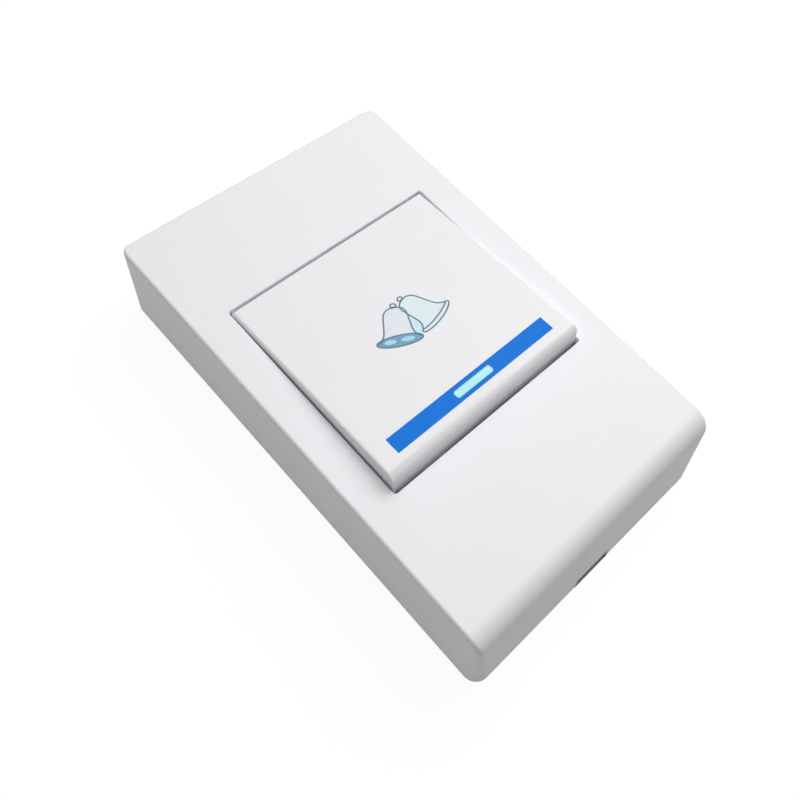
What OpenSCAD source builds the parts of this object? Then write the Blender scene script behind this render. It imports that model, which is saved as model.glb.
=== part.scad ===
// Wireless doorbell push unit for the wall beside a door.
// A white moulded case carries a rocking bell button, a small radio board and a battery.
// The case clips on a back cover that is screwed to the wall.
// Sizes are in millimetres. The back lies on z = 0, +Z is the front and +Y is the upper end.

/* [Case] */
// Length of the case where it meets the wall
case_len = 90; // [80:1:98]
// Width of the case where it meets the wall
case_wid = 55; // [50:1:62]
// Height of the front face above the wall
case_ht = 17.5; // [17.5:0.25:20]
// Thickness of the case walls and of its front
wall_t = 2; // [1.6:0.1:2.2]
// Lean of each long side over the height of the case
side_lean = 0.2; // [0.2:0.1:0.8]
// Lean of the upper end over the height of the case
upper_lean = 0.2; // [0.2:0.1:1]
// Lean of the lower end over the height of the case
lower_lean = 2.9; // [1:0.1:3.2]
// Corner radius of the upper end, seen from the front
upper_corner_r = 1.8; // [1.5:0.1:4]
// Corner radius of the lower end, seen from the front
lower_corner_r = 2.6; // [2:0.1:5]
// Rounding of the front edge along the sides and the upper end
edge_r = 0.6; // [0.4:0.1:1.2]
// Large rounding between the front face and the lower end
nose_r = 3.75; // [3.5:0.25:7]
// Width of the pry notch at the foot of the lower end
notch_w = 8; // [4:0.5:10]
// Height of the pry notch
notch_h = 1.4; // [0.6:0.1:1.6]

/* [Button opening] */
// Distance of the opening from the foot of each long side
win_side = 6.5; // [6.2:0.1:7]
// Distance of the opening from the foot of the upper end
win_head = 21.2; // [20.8:0.1:22]
// Distance of the opening from the foot of the lower end
win_foot = 27.9; // [27.5:0.1:28.5]
// Corner radius of the opening
win_r = 0.5; // [0.4:0.1:2]

/* [Button] */
// Gap at the sides and the upper edge of the button
btn_gap = 0.3; // [0.2:0.05:0.5]
// Gap at the lower edge of the button
btn_foot_gap = 0.6; // [0.4:0.05:0.7]
// Height of the button's lower edge above the front face
btn_rise = 3.3; // [2:0.1:3.6]
// Thickness of the button's face
btn_t = 1.8; // [1.4:0.1:2]
// Setback of the button's lower face over its rise
btn_front_set = 0.5; // [0.4:0.1:1.7]
// Rounding of the edges of the button's face
btn_edge_r = 0.5; // [0.3:0.1:0.7]
// Thickness of the skirt round the button
skirt_t = 1.2; // [1:0.1:1.5]
// Depth of the skirt behind the front face
skirt_d = 3; // [2.6:0.1:3.4]
// Thickness of the ribs behind the button's face
btn_rib_t = 1; // [0.8:0.1:1.4]
// Radius of the two pivot pins
pin_r = 1; // [0.8:0.05:1.1]
// Running clearance round the pivot pins
pin_clear = 0.05; // [0.03:0.01:0.08]
// Depth of the pivot behind the front face
pivot_drop = 3.6; // [3.5:0.1:4]
// Distance of the pivot below the upper edge of the opening
pivot_in = 2.65; // [2.4:0.05:3]
// Angle through which the button rocks when it is pressed
press_angle = 1.2; // [0.8:0.1:1.4]
// Half the distance between the two stop hooks
hook_x = 12; // [8:0.5:14]
// Width of each stop hook
hook_w = 4; // [2:0.5:5]
// Reach of each stop hook behind the front of the case
hook_reach = 1.2; // [0.8:0.1:1.5]
// Play of the stop hooks behind the front of the case
hook_gap = 0.05; // [0.03:0.01:0.1]

/* [Light window] */
// Length of the light window in the button
light_len = 8; // [6:0.2:12]
// Width of the light window
light_wid = 1.4; // [1.2:0.1:2]
// Corner radius of the light window
light_r = 0.45; // [0.2:0.05:0.55]
// Distance of the light window above the button's lower edge
light_up = 4.7; // [4.3:0.1:5.1]
// Clearance round the light window
light_clear = 0.05; // [0.03:0.01:0.1]
// Width of the flange that keeps the light window from falling out
light_flange = 0.8; // [0.5:0.1:1.2]
// Thickness of that flange
light_flange_t = 1; // [0.6:0.1:1.2]

/* [Back cover] */
// Thickness of the back cover's plate
cover_t = 2; // [1.6:0.1:2.2]
// Gap between the back cover and the case walls
cover_gap = 0.3; // [0.2:0.05:0.5]
// Height of the locating tabs above the plate
tab_h = 3; // [2:0.25:3.5]
// Thickness of the locating tabs
tab_t = 1.2; // [1:0.1:1.4]
// Length of the locating tabs
tab_len = 12; // [8:1:16]
// Distance of the locating tabs above and below the middle
tab_y = 16; // [12:0.5:18]
// Distance of the locating tabs from the plate's edge
tab_in = 0.5; // [0.4:0.1:0.8]
// Radius of the snap pips on the locating tabs
pip_r = 0.4; // [0.3:0.05:0.5]
// Radius of the wall screw holes
hole_r = 2.1; // [1.8:0.1:2.5]
// Distance between the two wall screw holes
hole_pitch = 44; // [36:1:48]
// Height of the upper wall screw hole above the middle
hole_y = 28; // [24:0.5:30]
// Radius of the rim round each wall screw hole
hole_rim_r = 5; // [4.8:0.1:6]
// Height of that rim above the plate
hole_rim_h = 0.8; // [0.5:0.1:1.2]

/* [Circuit board] */
// Room between the board and the side walls of the case
board_gap = 1.5; // [1.3:0.1:1.8]
// Room between the board and the upper end wall of the case
board_head = 4.5; // [3:0.25:5]
// Room between the board and the battery
board_bay = 2.35; // [2.1:0.05:2.6]
// Thickness of the board
board_t = 1.2; // [0.8:0.1:1.6]
// Height of the board's front side above the wall
board_z = 8.2; // [8:0.1:8.4]
// Corner radius of the board
board_r = 1.5; // [0.8:0.1:2.5]
// Radius of the board screws
screw_r = 1; // [0.8:0.1:1.1]
// Length of the board screws under the head
screw_len = 5.5; // [4:0.25:6]
// Radius of the board screws' heads
screw_head_r = 1.9; // [1.6:0.1:2]
// Height of the board screws' heads
screw_head_h = 1.3; // [1:0.1:1.6]
// Clearance round the board screws
screw_clear = 0.1; // [0.05:0.01:0.15]
// Radius of the screw bosses
boss_r = 2.2; // [2:0.1:2.3]
// Distance of the upper board screws from the board's side edges
upper_screw_in = 5.5; // [3.5:0.5:7.5]
// Distance of the upper board screws from the board's upper edge
upper_screw_down = 3.5; // [3:0.25:5]
// Distance of the lower board screws from the board's side edges
lower_screw_in = 1.9; // [1.8:0.05:2]
// Distance of the lower board screws from the board's lower edge
lower_screw_up = 2.7; // [2.5:0.1:2.9]

/* [Switch] */
// Distance of the switch below the middle of the button
switch_below = 0.85; // [0.15:0.05:1.65]
// Side of the square switch
switch_size = 6; // [5:0.5:6.5]
// Height of the switch's plastic base
switch_ht = 3; // [2.8:0.1:3.2]
// Thickness of the switch's metal cover
switch_plate_t = 0.3; // [0.2:0.05:0.4]
// Radius of the switch's stem
stem_r = 1.7; // [1.4:0.05:1.8]
// Running clearance round the stem
stem_clear = 0.08; // [0.05:0.01:0.1]
// Height of the collar that keeps the stem under the cover
collar_h = 0.6; // [0.4:0.05:0.7]
// Play of that collar under the cover
collar_play = 0.08; // [0.05:0.01:0.1]
// Height of the stem's end above the board
stem_top = 5; // [4.6:0.1:5.2]
// Radius of the post that presses the stem
post_r = 1.2; // [0.9:0.1:1.6]
// Play between the post and the stem
post_gap = 0.06; // [0.05:0.01:0.1]

/* [Board parts] */
// Radius of the indicator lamp's lens
led_r = 1.5; // [1.2:0.1:1.6]
// Height of the lamp's foot above the board
led_lift = 2; // [1.6:0.1:2.2]
// Height of the lamp's straight sides
led_side = 3.4; // [3:0.1:3.5]
// Distance between the lamp's two leads
lead_pitch = 2.54; // [2.4:0.02:2.6]
// Width of the square leads
lead_w = 0.5; // [0.4:0.05:0.6]
// Clearance round each lead in the board
lead_clear = 0.12; // [0.08:0.01:0.15]
// Length of the encoder chip
chip_len = 4.9; // [4.9:0.1:6]
// Width of the encoder chip
chip_wid = 3.9; // [3.5:0.1:4.5]
// Thickness of the encoder chip
chip_t = 1.4; // [1:0.1:1.8]
// Distance between neighbouring chip legs
leg_pitch = 1.27; // [1.2:0.01:1.3]
// Width of each chip leg
leg_w = 0.4; // [0.3:0.05:0.5]
// Thickness of the sheet that the legs are bent from
leg_t = 0.2; // [0.15:0.01:0.25]
// Reach of the bent legs beside a chip
leg_out = 1.05; // [0.9:0.05:1.2]
// Distance of the encoder chip and the resonator can from the board's upper edge
chip_down = 21; // [20:0.5:22]
// Sideways distance of the encoder chip from the middle
chip_side = 10; // [9:0.5:12]
// Sideways distance of the resonator can from the middle
can_side = 11.5; // [10:0.5:12]
// Length of the radio transistor
transistor_len = 2.9; // [2.8:0.1:3.2]
// Width of the radio transistor
transistor_wid = 1.3; // [1.2:0.1:1.6]
// Thickness of the radio transistor
transistor_t = 1; // [0.8:0.1:1.2]
// Distance between the radio transistor's paired legs
transistor_pitch = 1.9; // [1.8:0.1:2]
// Distance of the radio transistor from the board's upper edge
transistor_down = 10.5; // [9:0.5:12]
// Sideways distance of the radio transistor from the middle
transistor_side = 10.5; // [9:0.5:12]
// Radius of the resonator can
can_r = 4.6; // [4:0.1:4.8]
// Height of the resonator can
can_h = 3.3; // [2.5:0.1:3.5]
// Length of the small chip parts
smd_len = 2; // [1.6:0.1:2.2]
// Width of the small chip parts
smd_wid = 1.25; // [0.8:0.05:1.3]
// Number of small chip parts in a row
smd_count = 5; // [3:1:5]
// Distance between small chip parts in a row
smd_pitch = 4; // [2.5:0.25:4.25]
// Thickness of the small resistors
resistor_t = 0.5; // [0.4:0.05:0.6]
// Sideways distance of the first small resistor from the middle
resistor_side = 10; // [9:0.5:11]
// Distance of the small resistors from the board's upper edge
resistor_down = 6.5; // [5:0.5:7]
// Thickness of the small capacitors
capacitor_t = 0.9; // [0.7:0.05:1.1]
// Sideways distance of the first small capacitor from the middle
capacitor_side = 14; // [12:0.5:15]
// Distance of the small capacitors from the board's upper edge
capacitor_down = 12.5; // [11:0.5:14]

/* [Battery] */
// Radius of the battery
bat_r = 5.15; // [5:0.05:5.25]
// Length of the battery's can
bat_len = 27.4; // [27:0.1:27.6]
// Radius of the battery's raised terminal
bat_tip_r = 1.9; // [1.5:0.1:2.5]
// Height of the battery's raised terminal
bat_tip_h = 1.1; // [0.8:0.1:1.4]
// Sideways position of the battery's flat end
bat_x = -12.4; // [-12.6:0.1:-12.2]
// Distance of the battery's axis above the foot of the lower end
bat_up = 11; // [10.8:0.1:11.2]
// Height of the battery above the back cover's plate
bat_lift = 1.2; // [1:0.1:1.4]
// Gap between the battery and the ribs that hold it
bat_gap = 0.2; // [0.15:0.05:0.3]
// Width of the contact plates
contact_w = 9; // [8:0.25:9.5]
// Reach of the contact plates in front of the battery's axis
contact_fore = 4.5; // [4:0.1:4.8]
// Reach of the contact plates behind the battery's axis
contact_aft = 4; // [3.5:0.1:4.2]
// Distance of the contact plates' pins from the board's lower edge
contact_pin_in = 1; // [0.9:0.05:1.2]
// Thickness of the contact plates
contact_t = 0.4; // [0.3:0.05:0.5]
// Clearance of the contact plates in their slots
contact_clear = 0.05; // [0.03:0.01:0.1]
// Length of the compressed contact spring
spring_len = 4.6; // [4.4:0.1:4.8]
// Radius of the spring's wire
wire_r = 0.3; // [0.25:0.01:0.32]
// Radius of the spring's wide end, to the middle of the wire
spring_wide_r = 3.6; // [3:0.1:4]
// Radius of the spring's narrow end, to the middle of the wire
spring_narrow_r = 2.4; // [2:0.1:2.8]

/* [Hidden] */
$fn = 48;
// Length by which a cut runs past the face that it opens
past = 1;
// Depth by which joined shapes of one moulding run into each other
bury = 0.5;
// Touching distance between the parts of the battery circuit
touch = 0.02;

front_z = case_ht - wall_t;
win_wid = case_wid - 2 * win_side;
win_hi = case_len / 2 - win_head;
win_lo = win_foot - case_len / 2;
win_len = win_hi - win_lo;
win_y = (win_hi + win_lo) / 2;
btn_hw = win_wid / 2 - btn_gap;
btn_hi = win_hi - btn_gap;
btn_lo = win_lo + btn_foot_gap;
btn_crest = btn_lo + btn_front_set;
btn_slope = atan(btn_rise / (btn_hi - btn_crest));
pivot_y = win_hi - pivot_in;
pivot_z = case_ht - pivot_drop;
switch_y = (btn_hi + btn_lo) / 2 - switch_below;
light_y = btn_lo + light_up;
cover_hw = case_wid / 2 - wall_t - cover_gap;
cover_hl = case_len / 2 - wall_t - cover_gap - lower_lean * cover_t / case_ht;
board_back = board_z - board_t;
bat_y = bat_up - case_len / 2;
bat_z = cover_t + bat_lift + bat_r;
bat_tip_x = bat_x + bat_len + bat_tip_h;
plus_x = bat_tip_x + touch;
minus_x = bat_x - spring_len;
board_wid = case_wid - 2 * (wall_t + board_gap);
board_hi = case_len / 2 - wall_t - board_head;
board_lo = bat_y + bat_r + board_bay;
tail_y = board_lo + contact_pin_in;
can_pos = [can_side, board_hi - chip_down];
chip_pos = [-chip_side, board_hi - chip_down];
transistor_pos = [transistor_side, board_hi - transistor_down];
stem_travel = (pivot_y - switch_y) * sin(press_angle);
upper_screw_x = board_wid / 2 - upper_screw_in;
lower_screw_x = board_wid / 2 - lower_screw_in;
screw_spots = [
    [-upper_screw_x, board_hi - upper_screw_down],
    [upper_screw_x, board_hi - upper_screw_down],
    [-lower_screw_x, board_lo + lower_screw_up],
    [lower_screw_x, board_lo + lower_screw_up]
];

white = [0.93, 0.93, 0.95];
inner_white = [0.88, 0.88, 0.89];
pale_cyan = [0.72, 0.95, 1];
board_green = [0.1, 0.36, 0.2];
black = [0.08, 0.08, 0.09];
steel = [0.75, 0.76, 0.78];
copper_tin = [0.8, 0.77, 0.68];
battery_gold = [0.72, 0.6, 0.3];

// Faces of the case's outside at a height above the wall
function upper_y(z) = case_len / 2 - upper_lean * z / case_ht;
function lower_y(z) = lower_lean * z / case_ht - case_len / 2;
function side_x(z) = case_wid / 2 - side_lean * z / case_ht;

// Height of the button's sloping face at a distance along the case
function btn_top(y) = case_ht + (btn_hi - y) * tan(btn_slope);

// Rounded convex outlines
function toward(a, b) = (b - a) / norm(b - a);
function half_turn(a, b, c) = acos(toward(b, a) * toward(b, c)) / 2;
function arc_start(a, b, c, r) = r / tan(half_turn(a, b, c));
function bisector(a, b, c) = toward(b, a) + toward(b, c);
function arc_centre(a, b, c, r) =
    b + bisector(a, b, c) / norm(bisector(a, b, c)) * r / sin(half_turn(a, b, c));
function before(p, i) = p[(i + len(p) - 1) % len(p)];
function after(p, i) = p[(i + 1) % len(p)];
function corner_ends(p, i, r) =
    r > 0
        ? [
            p[i] + toward(p[i], before(p, i)) * arc_start(before(p, i), p[i], after(p, i), r),
            p[i] + toward(p[i], after(p, i)) * arc_start(before(p, i), p[i], after(p, i), r)
        ]
        : [p[i]];

module rounded(p, r) {
    polygon([for (i = [0 : len(p) - 1]) each corner_ends(p, i, r[i])]);
    for (i = [0 : len(p) - 1])
        if (r[i] > 0)
            translate(arc_centre(before(p, i), p[i], after(p, i), r[i]))
                circle(r[i]);
}

// Rectangle about the middle with four equal corners
module plate_outline(hw, hl, r) {
    rounded([[-hw, -hl], [hw, -hl], [hw, hl], [-hw, hl]], [r, r, r, r]);
}

// Outline of the light window, wider all round by more
module light_outline(more) {
    plate_outline(light_len / 2 + more, light_wid / 2 + more, light_r + more);
}

// Drawing in Y and Z carried along X, centred
module along_x(width) {
    rotate([90, 0, 90])
        linear_extrude(width, center = true)
            children();
}

// Drawing in X and Z carried along Y, centred
module along_y(length) {
    rotate([90, 0, 0])
        linear_extrude(length, center = true)
            children();
}

// Box between two corners
module box(low, high) {
    translate(low)
        cube(high - low);
}

// Upright block that rounds the two corners of one end and leans with that end
module end_corners(lean, r, t) {
    hw = case_wid / 2 - t;
    over = 2 * case_ht;
    rotate([-atan(lean / case_ht), 0, 0])
        translate([0, 0, -over])
            linear_extrude(3 * over)
                rounded([[-hw, 0], [hw, 0], [hw, 2 * case_len], [-hw, 2 * case_len]], [r, r, 0, 0]);
}

// Outside shape of the case, drawn in by t everywhere but at the back
module case_form(t, z0) {
    z1 = case_ht - t;
    out = 0.02;
    rim_r = max(edge_r - t, 0.4);
    intersection() {
        translate([0, t - out - case_len / 2, 0])
            end_corners(lower_lean, max(lower_corner_r - t, 0.6) + out, t - out);
        translate([0, case_len / 2 - t + out, 0])
            rotate(180)
                end_corners(upper_lean, max(upper_corner_r - t, 0.6) + out, t - out);
        along_x(2 * case_wid)
            rounded([
                [lower_y(z0) + t, z0],
                [upper_y(z0) - t, z0],
                [upper_y(z1) - t, z1],
                [lower_y(z1) + t, z1]
            ], [0, 0, rim_r, nose_r - t]);
        along_y(2 * case_len)
            rounded([
                [t - side_x(z0), z0],
                [side_x(z0) - t, z0],
                [side_x(z1) - t, z1],
                [t - side_x(z1), z1]
            ], [0, 0, rim_r, rim_r]);
    }
}

// Hanger that carries one pivot pin behind the front of the case
module pivot_hanger() {
    hanger_out = 0.45;
    hanger_t = 1.6;
    hanger_hw = 2.4;
    hanger_below = 0.9;
    inner_x = win_wid / 2 + hanger_out;
    snap_w = 1.5 * pin_r;
    low_z = pivot_z - pin_r - hanger_below;
    difference() {
        box([inner_x, pivot_y - hanger_hw, low_z], [inner_x + hanger_t, pivot_y + hanger_hw, front_z + bury]);
        translate([inner_x - past, pivot_y, pivot_z])
            rotate([0, 90, 0])
                cylinder(r = pin_r + pin_clear, h = hanger_t + 2 * past);
        box(
            [inner_x - past, pivot_y - snap_w / 2, low_z - past],
            [inner_x + hanger_t + past, pivot_y + snap_w / 2, pivot_z]
        );
    }
}

// Ribs inside the long sides that rest on the back cover
module seat_ribs() {
    rib_hw = 0.6;
    rib_in = 10;
    board_room = 0.3;
    rib_y = case_len / 2 - rib_in;
    for (side = [0, 1], y = [-rib_y, 0, rib_y])
        mirror([side, 0, 0])
            box(
                [board_wid / 2 + board_room, y - rib_hw, cover_t + hook_gap],
                [case_wid / 2 - wall_t / 2, y + rib_hw, front_z + bury]
            );
}

// Posts that take the board screws
module screw_bosses() {
    tip_room = 0.4;
    for (spot = screw_spots)
        translate([spot[0], spot[1], board_z])
            difference() {
                cylinder(r = boss_r, h = front_z + bury - board_z);
                translate([0, 0, -past])
                    cylinder(r = screw_r + screw_clear, h = screw_len - board_t + past + tip_room);
            }
}

// Ribs that keep the battery off the front of the case
module battery_cradle() {
    rib_hw = 0.7;
    rib_share = 0.2;
    below = 6.6;
    above = 5.6;
    fore = 1.2;
    for (x = [bat_x + bat_len * rib_share, bat_x + bat_len * (1 - rib_share)])
        difference() {
            box(
                [x - rib_hw, bat_y - below, bat_z + fore],
                [x + rib_hw, bat_y + above, front_z + bury]
            );
            translate([x - past - rib_hw, bat_y, bat_z])
                rotate([0, 90, 0])
                    cylinder(r = bat_r + bat_gap, h = 2 * rib_hw + 2 * past);
        }
}

// Wall between the battery and the circuit board
module bay_wall() {
    bay_t = 0.9;
    bay_room = 0.5;
    bay_drop = 3;
    reach = 12;
    inner_y = bat_y + bat_r + bay_room;
    box([-reach, inner_y, board_z - bay_drop], [reach, inner_y + bay_t, front_z + bury]);
}

// Pair of slotted blocks that hold one contact plate by its edges
module contact_holder(x) {
    block_hx = 1.2;
    block_w = 1.8;
    hold = 0.7;
    block_aft = 2;
    low_z = bat_z - block_aft;
    difference() {
        for (y = [bat_y - contact_w / 2 - block_w + hold, bat_y + contact_w / 2 - hold])
            box(
                [x + contact_t / 2 - block_hx, y, low_z],
                [x + contact_t / 2 + block_hx, y + block_w, front_z + bury]
            );
        box(
            [x - contact_clear, bat_y - contact_w, low_z - past],
            [x + contact_t + contact_clear, bat_y + contact_w, bat_z + contact_fore + contact_clear]
        );
    }
}

module front_case() {
    color(white)
        difference() {
            union() {
                difference() {
                    case_form(0, 0);
                    case_form(wall_t, -past);
                }
                intersection() {
                    case_form(wall_t / 2, 0);
                    union() {
                        pivot_hanger();
                        mirror([1, 0, 0])
                            pivot_hanger();
                        seat_ribs();
                        screw_bosses();
                        battery_cradle();
                        bay_wall();
                        contact_holder(plus_x);
                        contact_holder(minus_x - contact_t);
                    }
                }
            }
            translate([0, win_y, front_z - past])
                linear_extrude(wall_t + 2 * past)
                    plate_outline(win_wid / 2, win_len / 2, win_r);
            box([-notch_w / 2, -case_len, -past], [notch_w / 2, wall_t * 2 - case_len / 2, notch_h]);
        }
}

module back_cover() {
    plate_r = max(lower_corner_r - wall_t, 0.6);
    tab_x = cover_hw - tab_in;
    rest_t = 1.2;
    rest_hw = 3;
    rest_share = 0.3;
    sink_d = 0.7;
    sink_out = 1.8;
    color(inner_white)
        difference() {
            union() {
                linear_extrude(cover_t)
                    plate_outline(cover_hw, cover_hl, plate_r);
                for (side = [0, 1], y = [-tab_y, tab_y])
                    mirror([side, 0, 0]) {
                        box(
                            [tab_x - tab_t, y - tab_len / 2, cover_t - bury],
                            [tab_x, y + tab_len / 2, cover_t + tab_h]
                        );
                        translate([tab_x - pip_r / 4, y + tab_len / 4, cover_t + tab_h / 2])
                            rotate([90, 0, 0])
                                cylinder(r = pip_r, h = tab_len / 2);
                    }
                for (y = [hole_y, hole_y - hole_pitch])
                    translate([0, y, cover_t - bury])
                        cylinder(r = hole_rim_r, h = hole_rim_h + bury);
                for (x = [bat_x + bat_len * rest_share, bat_x + bat_len * (1 - rest_share)])
                    box(
                        [x - rest_t / 2, bat_y - rest_hw, cover_t - bury],
                        [x + rest_t / 2, bat_y + rest_hw, cover_t + bat_lift - bat_gap]
                    );
            }
            for (y = [hole_y, hole_y - hole_pitch])
                translate([0, y, 0]) {
                    translate([0, 0, -past])
                        cylinder(r = hole_r, h = cover_t + hole_rim_h + 2 * past);
                    translate([0, 0, cover_t - sink_d])
                        cylinder(r1 = hole_r, r2 = hole_r + sink_out, h = hole_rim_h + past);
                }
        }
}

// Outside shape of the button down to the foot of its skirt, drawn in by t at the sides and by top_t on top
module button_form(t, top_t, z0) {
    out = 0.02;
    hw = btn_hw - t;
    fall = tan(btn_slope);
    brim_z = case_ht - top_t;
    rim_r = max(btn_edge_r - t, 0);
    side_r = rim_r > 0 ? rim_r + out : 0;
    intersection() {
        translate([0, (btn_hi + btn_lo) / 2, z0])
            linear_extrude(case_ht + btn_rise + past - z0)
                plate_outline(hw, (btn_hi - btn_lo) / 2 - t, max(win_r - btn_gap - t, 0.3));
        along_x(2 * win_wid)
            rounded([
                [btn_lo - past, z0],
                [btn_hi + past, z0],
                [btn_hi + past, brim_z - past * fall],
                [btn_crest + t, brim_z + btn_rise - t * fall],
                [btn_lo + t, brim_z],
                [btn_lo - past, brim_z]
            ], [0, 0, 0, rim_r, 0, 0]);
        translate([0, btn_hi, brim_z])
            rotate([-btn_slope, 0, 0])
                along_y(4 * win_len)
                    rounded([
                        [-hw - out, -case_ht],
                        [hw + out, -case_ht],
                        [hw + out, out],
                        [-hw - out, out]
                    ], [0, 0, side_r, side_r]);
    }
}

// Ear and pin that carry the button on one side
module pivot_ear() {
    ear_hw = 2;
    ear_in = 1.8;
    ear_out = 0.2;
    ear_below = 0.6;
    pin_out = 2.4;
    pin_end = win_wid / 2 + pin_out;
    box(
        [btn_hw - ear_in, pivot_y - ear_hw, pivot_z - pin_r - ear_below],
        [btn_hw - ear_out, pivot_y + ear_hw, case_ht - btn_t + bury]
    );
    translate([btn_hw - ear_in, pivot_y, pivot_z])
        rotate([0, 90, 0])
            cylinder(r = pin_r, h = pin_end - btn_hw + ear_in);
}

// Hook that stops the button behind the front of the case
module stop_hook() {
    hook_below = 1.3;
    hook_t = 0.7;
    foot_z = case_ht - skirt_d - hook_below;
    top_z = front_z - hook_gap;
    translate([hook_x, 0, 0])
        along_x(hook_w)
            polygon([
                [btn_lo + skirt_t, foot_z],
                [btn_lo + skirt_t, top_z],
                [btn_lo - hook_reach, top_z],
                [btn_lo - hook_reach, top_z - hook_t],
                [btn_lo, foot_z]
            ]);
}

module push_button() {
    rib_x = 10;
    color(white)
        difference() {
            union() {
                difference() {
                    button_form(0, 0, case_ht - skirt_d);
                    button_form(skirt_t, btn_t, case_ht - skirt_d - past);
                }
                intersection() {
                    button_form(skirt_t / 2, btn_t / 2, front_z);
                    union() {
                        for (x = [-rib_x, rib_x])
                            box(
                                [x - btn_rib_t / 2, btn_lo, front_z],
                                [x + btn_rib_t / 2, btn_hi, case_ht + btn_rise]
                            );
                        box(
                            [-btn_hw, switch_y - btn_rib_t / 2, front_z],
                            [btn_hw, switch_y + btn_rib_t / 2, case_ht + btn_rise]
                        );
                    }
                }
                for (side = [0, 1])
                    mirror([side, 0, 0]) {
                        pivot_ear();
                        stop_hook();
                    }
                translate([0, switch_y, board_z + stem_top + post_gap])
                    cylinder(r = post_r, h = btn_top(switch_y) - btn_t / 2 - board_z - stem_top - post_gap);
            }
            translate([0, light_y, front_z])
                linear_extrude(wall_t + btn_rise + past)
                    light_outline(light_clear);
        }
}

// Clear bar that lets the lamp's light through the button
module indicator_window() {
    reach = light_wid + light_flange;
    color(pale_cyan)
        union() {
            intersection() {
                translate([0, light_y, front_z])
                    linear_extrude(wall_t + btn_rise + past)
                        light_outline(0);
                along_x(2 * light_len)
                    polygon([
                        [light_y - reach, btn_top(light_y - reach)],
                        [light_y + reach, btn_top(light_y + reach)],
                        [light_y + reach, btn_top(light_y + reach) - btn_t - light_flange_t / 2],
                        [light_y - reach, btn_top(light_y - reach) - btn_t - light_flange_t / 2]
                    ]);
            }
            intersection() {
                translate([0, light_y, board_z])
                    linear_extrude(case_ht)
                        light_outline(light_flange);
                along_x(2 * light_len)
                    polygon([
                        [light_y - reach, btn_top(light_y - reach) - btn_t],
                        [light_y + reach, btn_top(light_y + reach) - btn_t],
                        [light_y + reach, btn_top(light_y + reach) - btn_t - light_flange_t],
                        [light_y - reach, btn_top(light_y - reach) - btn_t - light_flange_t]
                    ]);
            }
        }
}

// Spots of the switch's four legs
switch_leg_hw = 0.25;
switch_leg_share = 0.375;
function switch_leg_spots() = [
    for (sx = [-1, 1], sy = [-1, 1])
        [sx * (switch_size / 2 + switch_leg_hw), switch_y + sy * switch_size * switch_leg_share]
];

module circuit_board() {
    pad = 0.75 * lead_w + lead_clear;
    tail_pad = 0.7;
    color(board_green)
        translate([0, 0, board_back])
            linear_extrude(board_t)
                difference() {
                    translate([0, (board_hi + board_lo) / 2])
                        plate_outline(board_wid / 2, (board_hi - board_lo) / 2, board_r);
                    for (spot = screw_spots)
                        translate(spot)
                            circle(screw_r + screw_clear);
                    for (spot = switch_leg_spots())
                        translate(spot)
                            circle(pad);
                    for (side = [-1, 1])
                        translate([side * lead_pitch / 2, light_y])
                            circle(pad);
                    for (x = [plus_x, minus_x - contact_t])
                        translate([x + contact_t / 2, tail_y])
                            circle(tail_pad);
                }
}

module board_screws() {
    color(steel)
        for (spot = screw_spots)
            translate([spot[0], spot[1], board_back - screw_head_h]) {
                cylinder(r = screw_head_r, h = screw_head_h);
                cylinder(r = screw_r, h = screw_head_h + screw_len);
            }
}

module switch_base() {
    well_out = 0.6;
    well_room = 0.4;
    well_r = stem_r + well_out;
    well_d = stem_travel + collar_h + collar_play + well_room;
    color(black)
        translate([0, switch_y, board_z])
            difference() {
                translate([-switch_size / 2, -switch_size / 2, 0])
                    cube([switch_size, switch_size, switch_ht]);
                translate([0, 0, switch_ht - well_d])
                    cylinder(r = well_r, h = well_d + past);
            }
}

module switch_cover() {
    color(steel)
        translate([0, switch_y, board_z + switch_ht])
            difference() {
                translate([-switch_size / 2, -switch_size / 2, 0])
                    cube([switch_size, switch_size, switch_plate_t]);
                translate([0, 0, -past])
                    cylinder(r = stem_r + stem_clear, h = switch_plate_t + 2 * past);
            }
}

// Legs that run down the switch's sides and through the board
module switch_legs() {
    leg_top = 0.6 * switch_ht;
    foot = 0.8;
    color(copper_tin)
        for (spot = switch_leg_spots())
            box(
                [spot[0] - switch_leg_hw, spot[1] - lead_w / 2, board_back - foot],
                [spot[0] + switch_leg_hw, spot[1] + lead_w / 2, board_z + leg_top]
            );
}

module switch_stem() {
    collar_out = 0.3;
    collar_r = stem_r + collar_out;
    collar_z = switch_ht - collar_play - collar_h;
    color(black)
        translate([0, switch_y, board_z]) {
            translate([0, 0, collar_z])
                cylinder(r = collar_r, h = collar_h);
            translate([0, 0, collar_z])
                cylinder(r = stem_r, h = stem_top - collar_z);
        }
}

module led_lens() {
    rim_h = 0.9;
    rim_w = 0.4;
    dome_bury = 0.4;
    color(pale_cyan)
        translate([0, light_y, board_z + led_lift]) {
            cylinder(r = led_r + rim_w, h = rim_h);
            cylinder(r = led_r, h = led_side);
            translate([0, 0, led_side])
                intersection() {
                    sphere(led_r);
                    translate([0, 0, led_r - dome_bury / 2])
                        cube(2 * led_r + dome_bury, center = true);
                }
        }
}

module led_leads() {
    foot = 0.8;
    color(copper_tin)
        for (side = [-1, 1])
            box(
                [side * lead_pitch / 2 - lead_w / 2, light_y - lead_w / 2, board_back - foot],
                [side * lead_pitch / 2 + lead_w / 2, light_y + lead_w / 2, board_z + led_lift]
            );
}

// Chip body that stands a little off the board
module chip_block(pos, length, width, thick) {
    lift = 0.15;
    translate([pos[0] - length / 2, pos[1] - width / 2, board_z + lift])
        cube([length, width, thick]);
}

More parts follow.
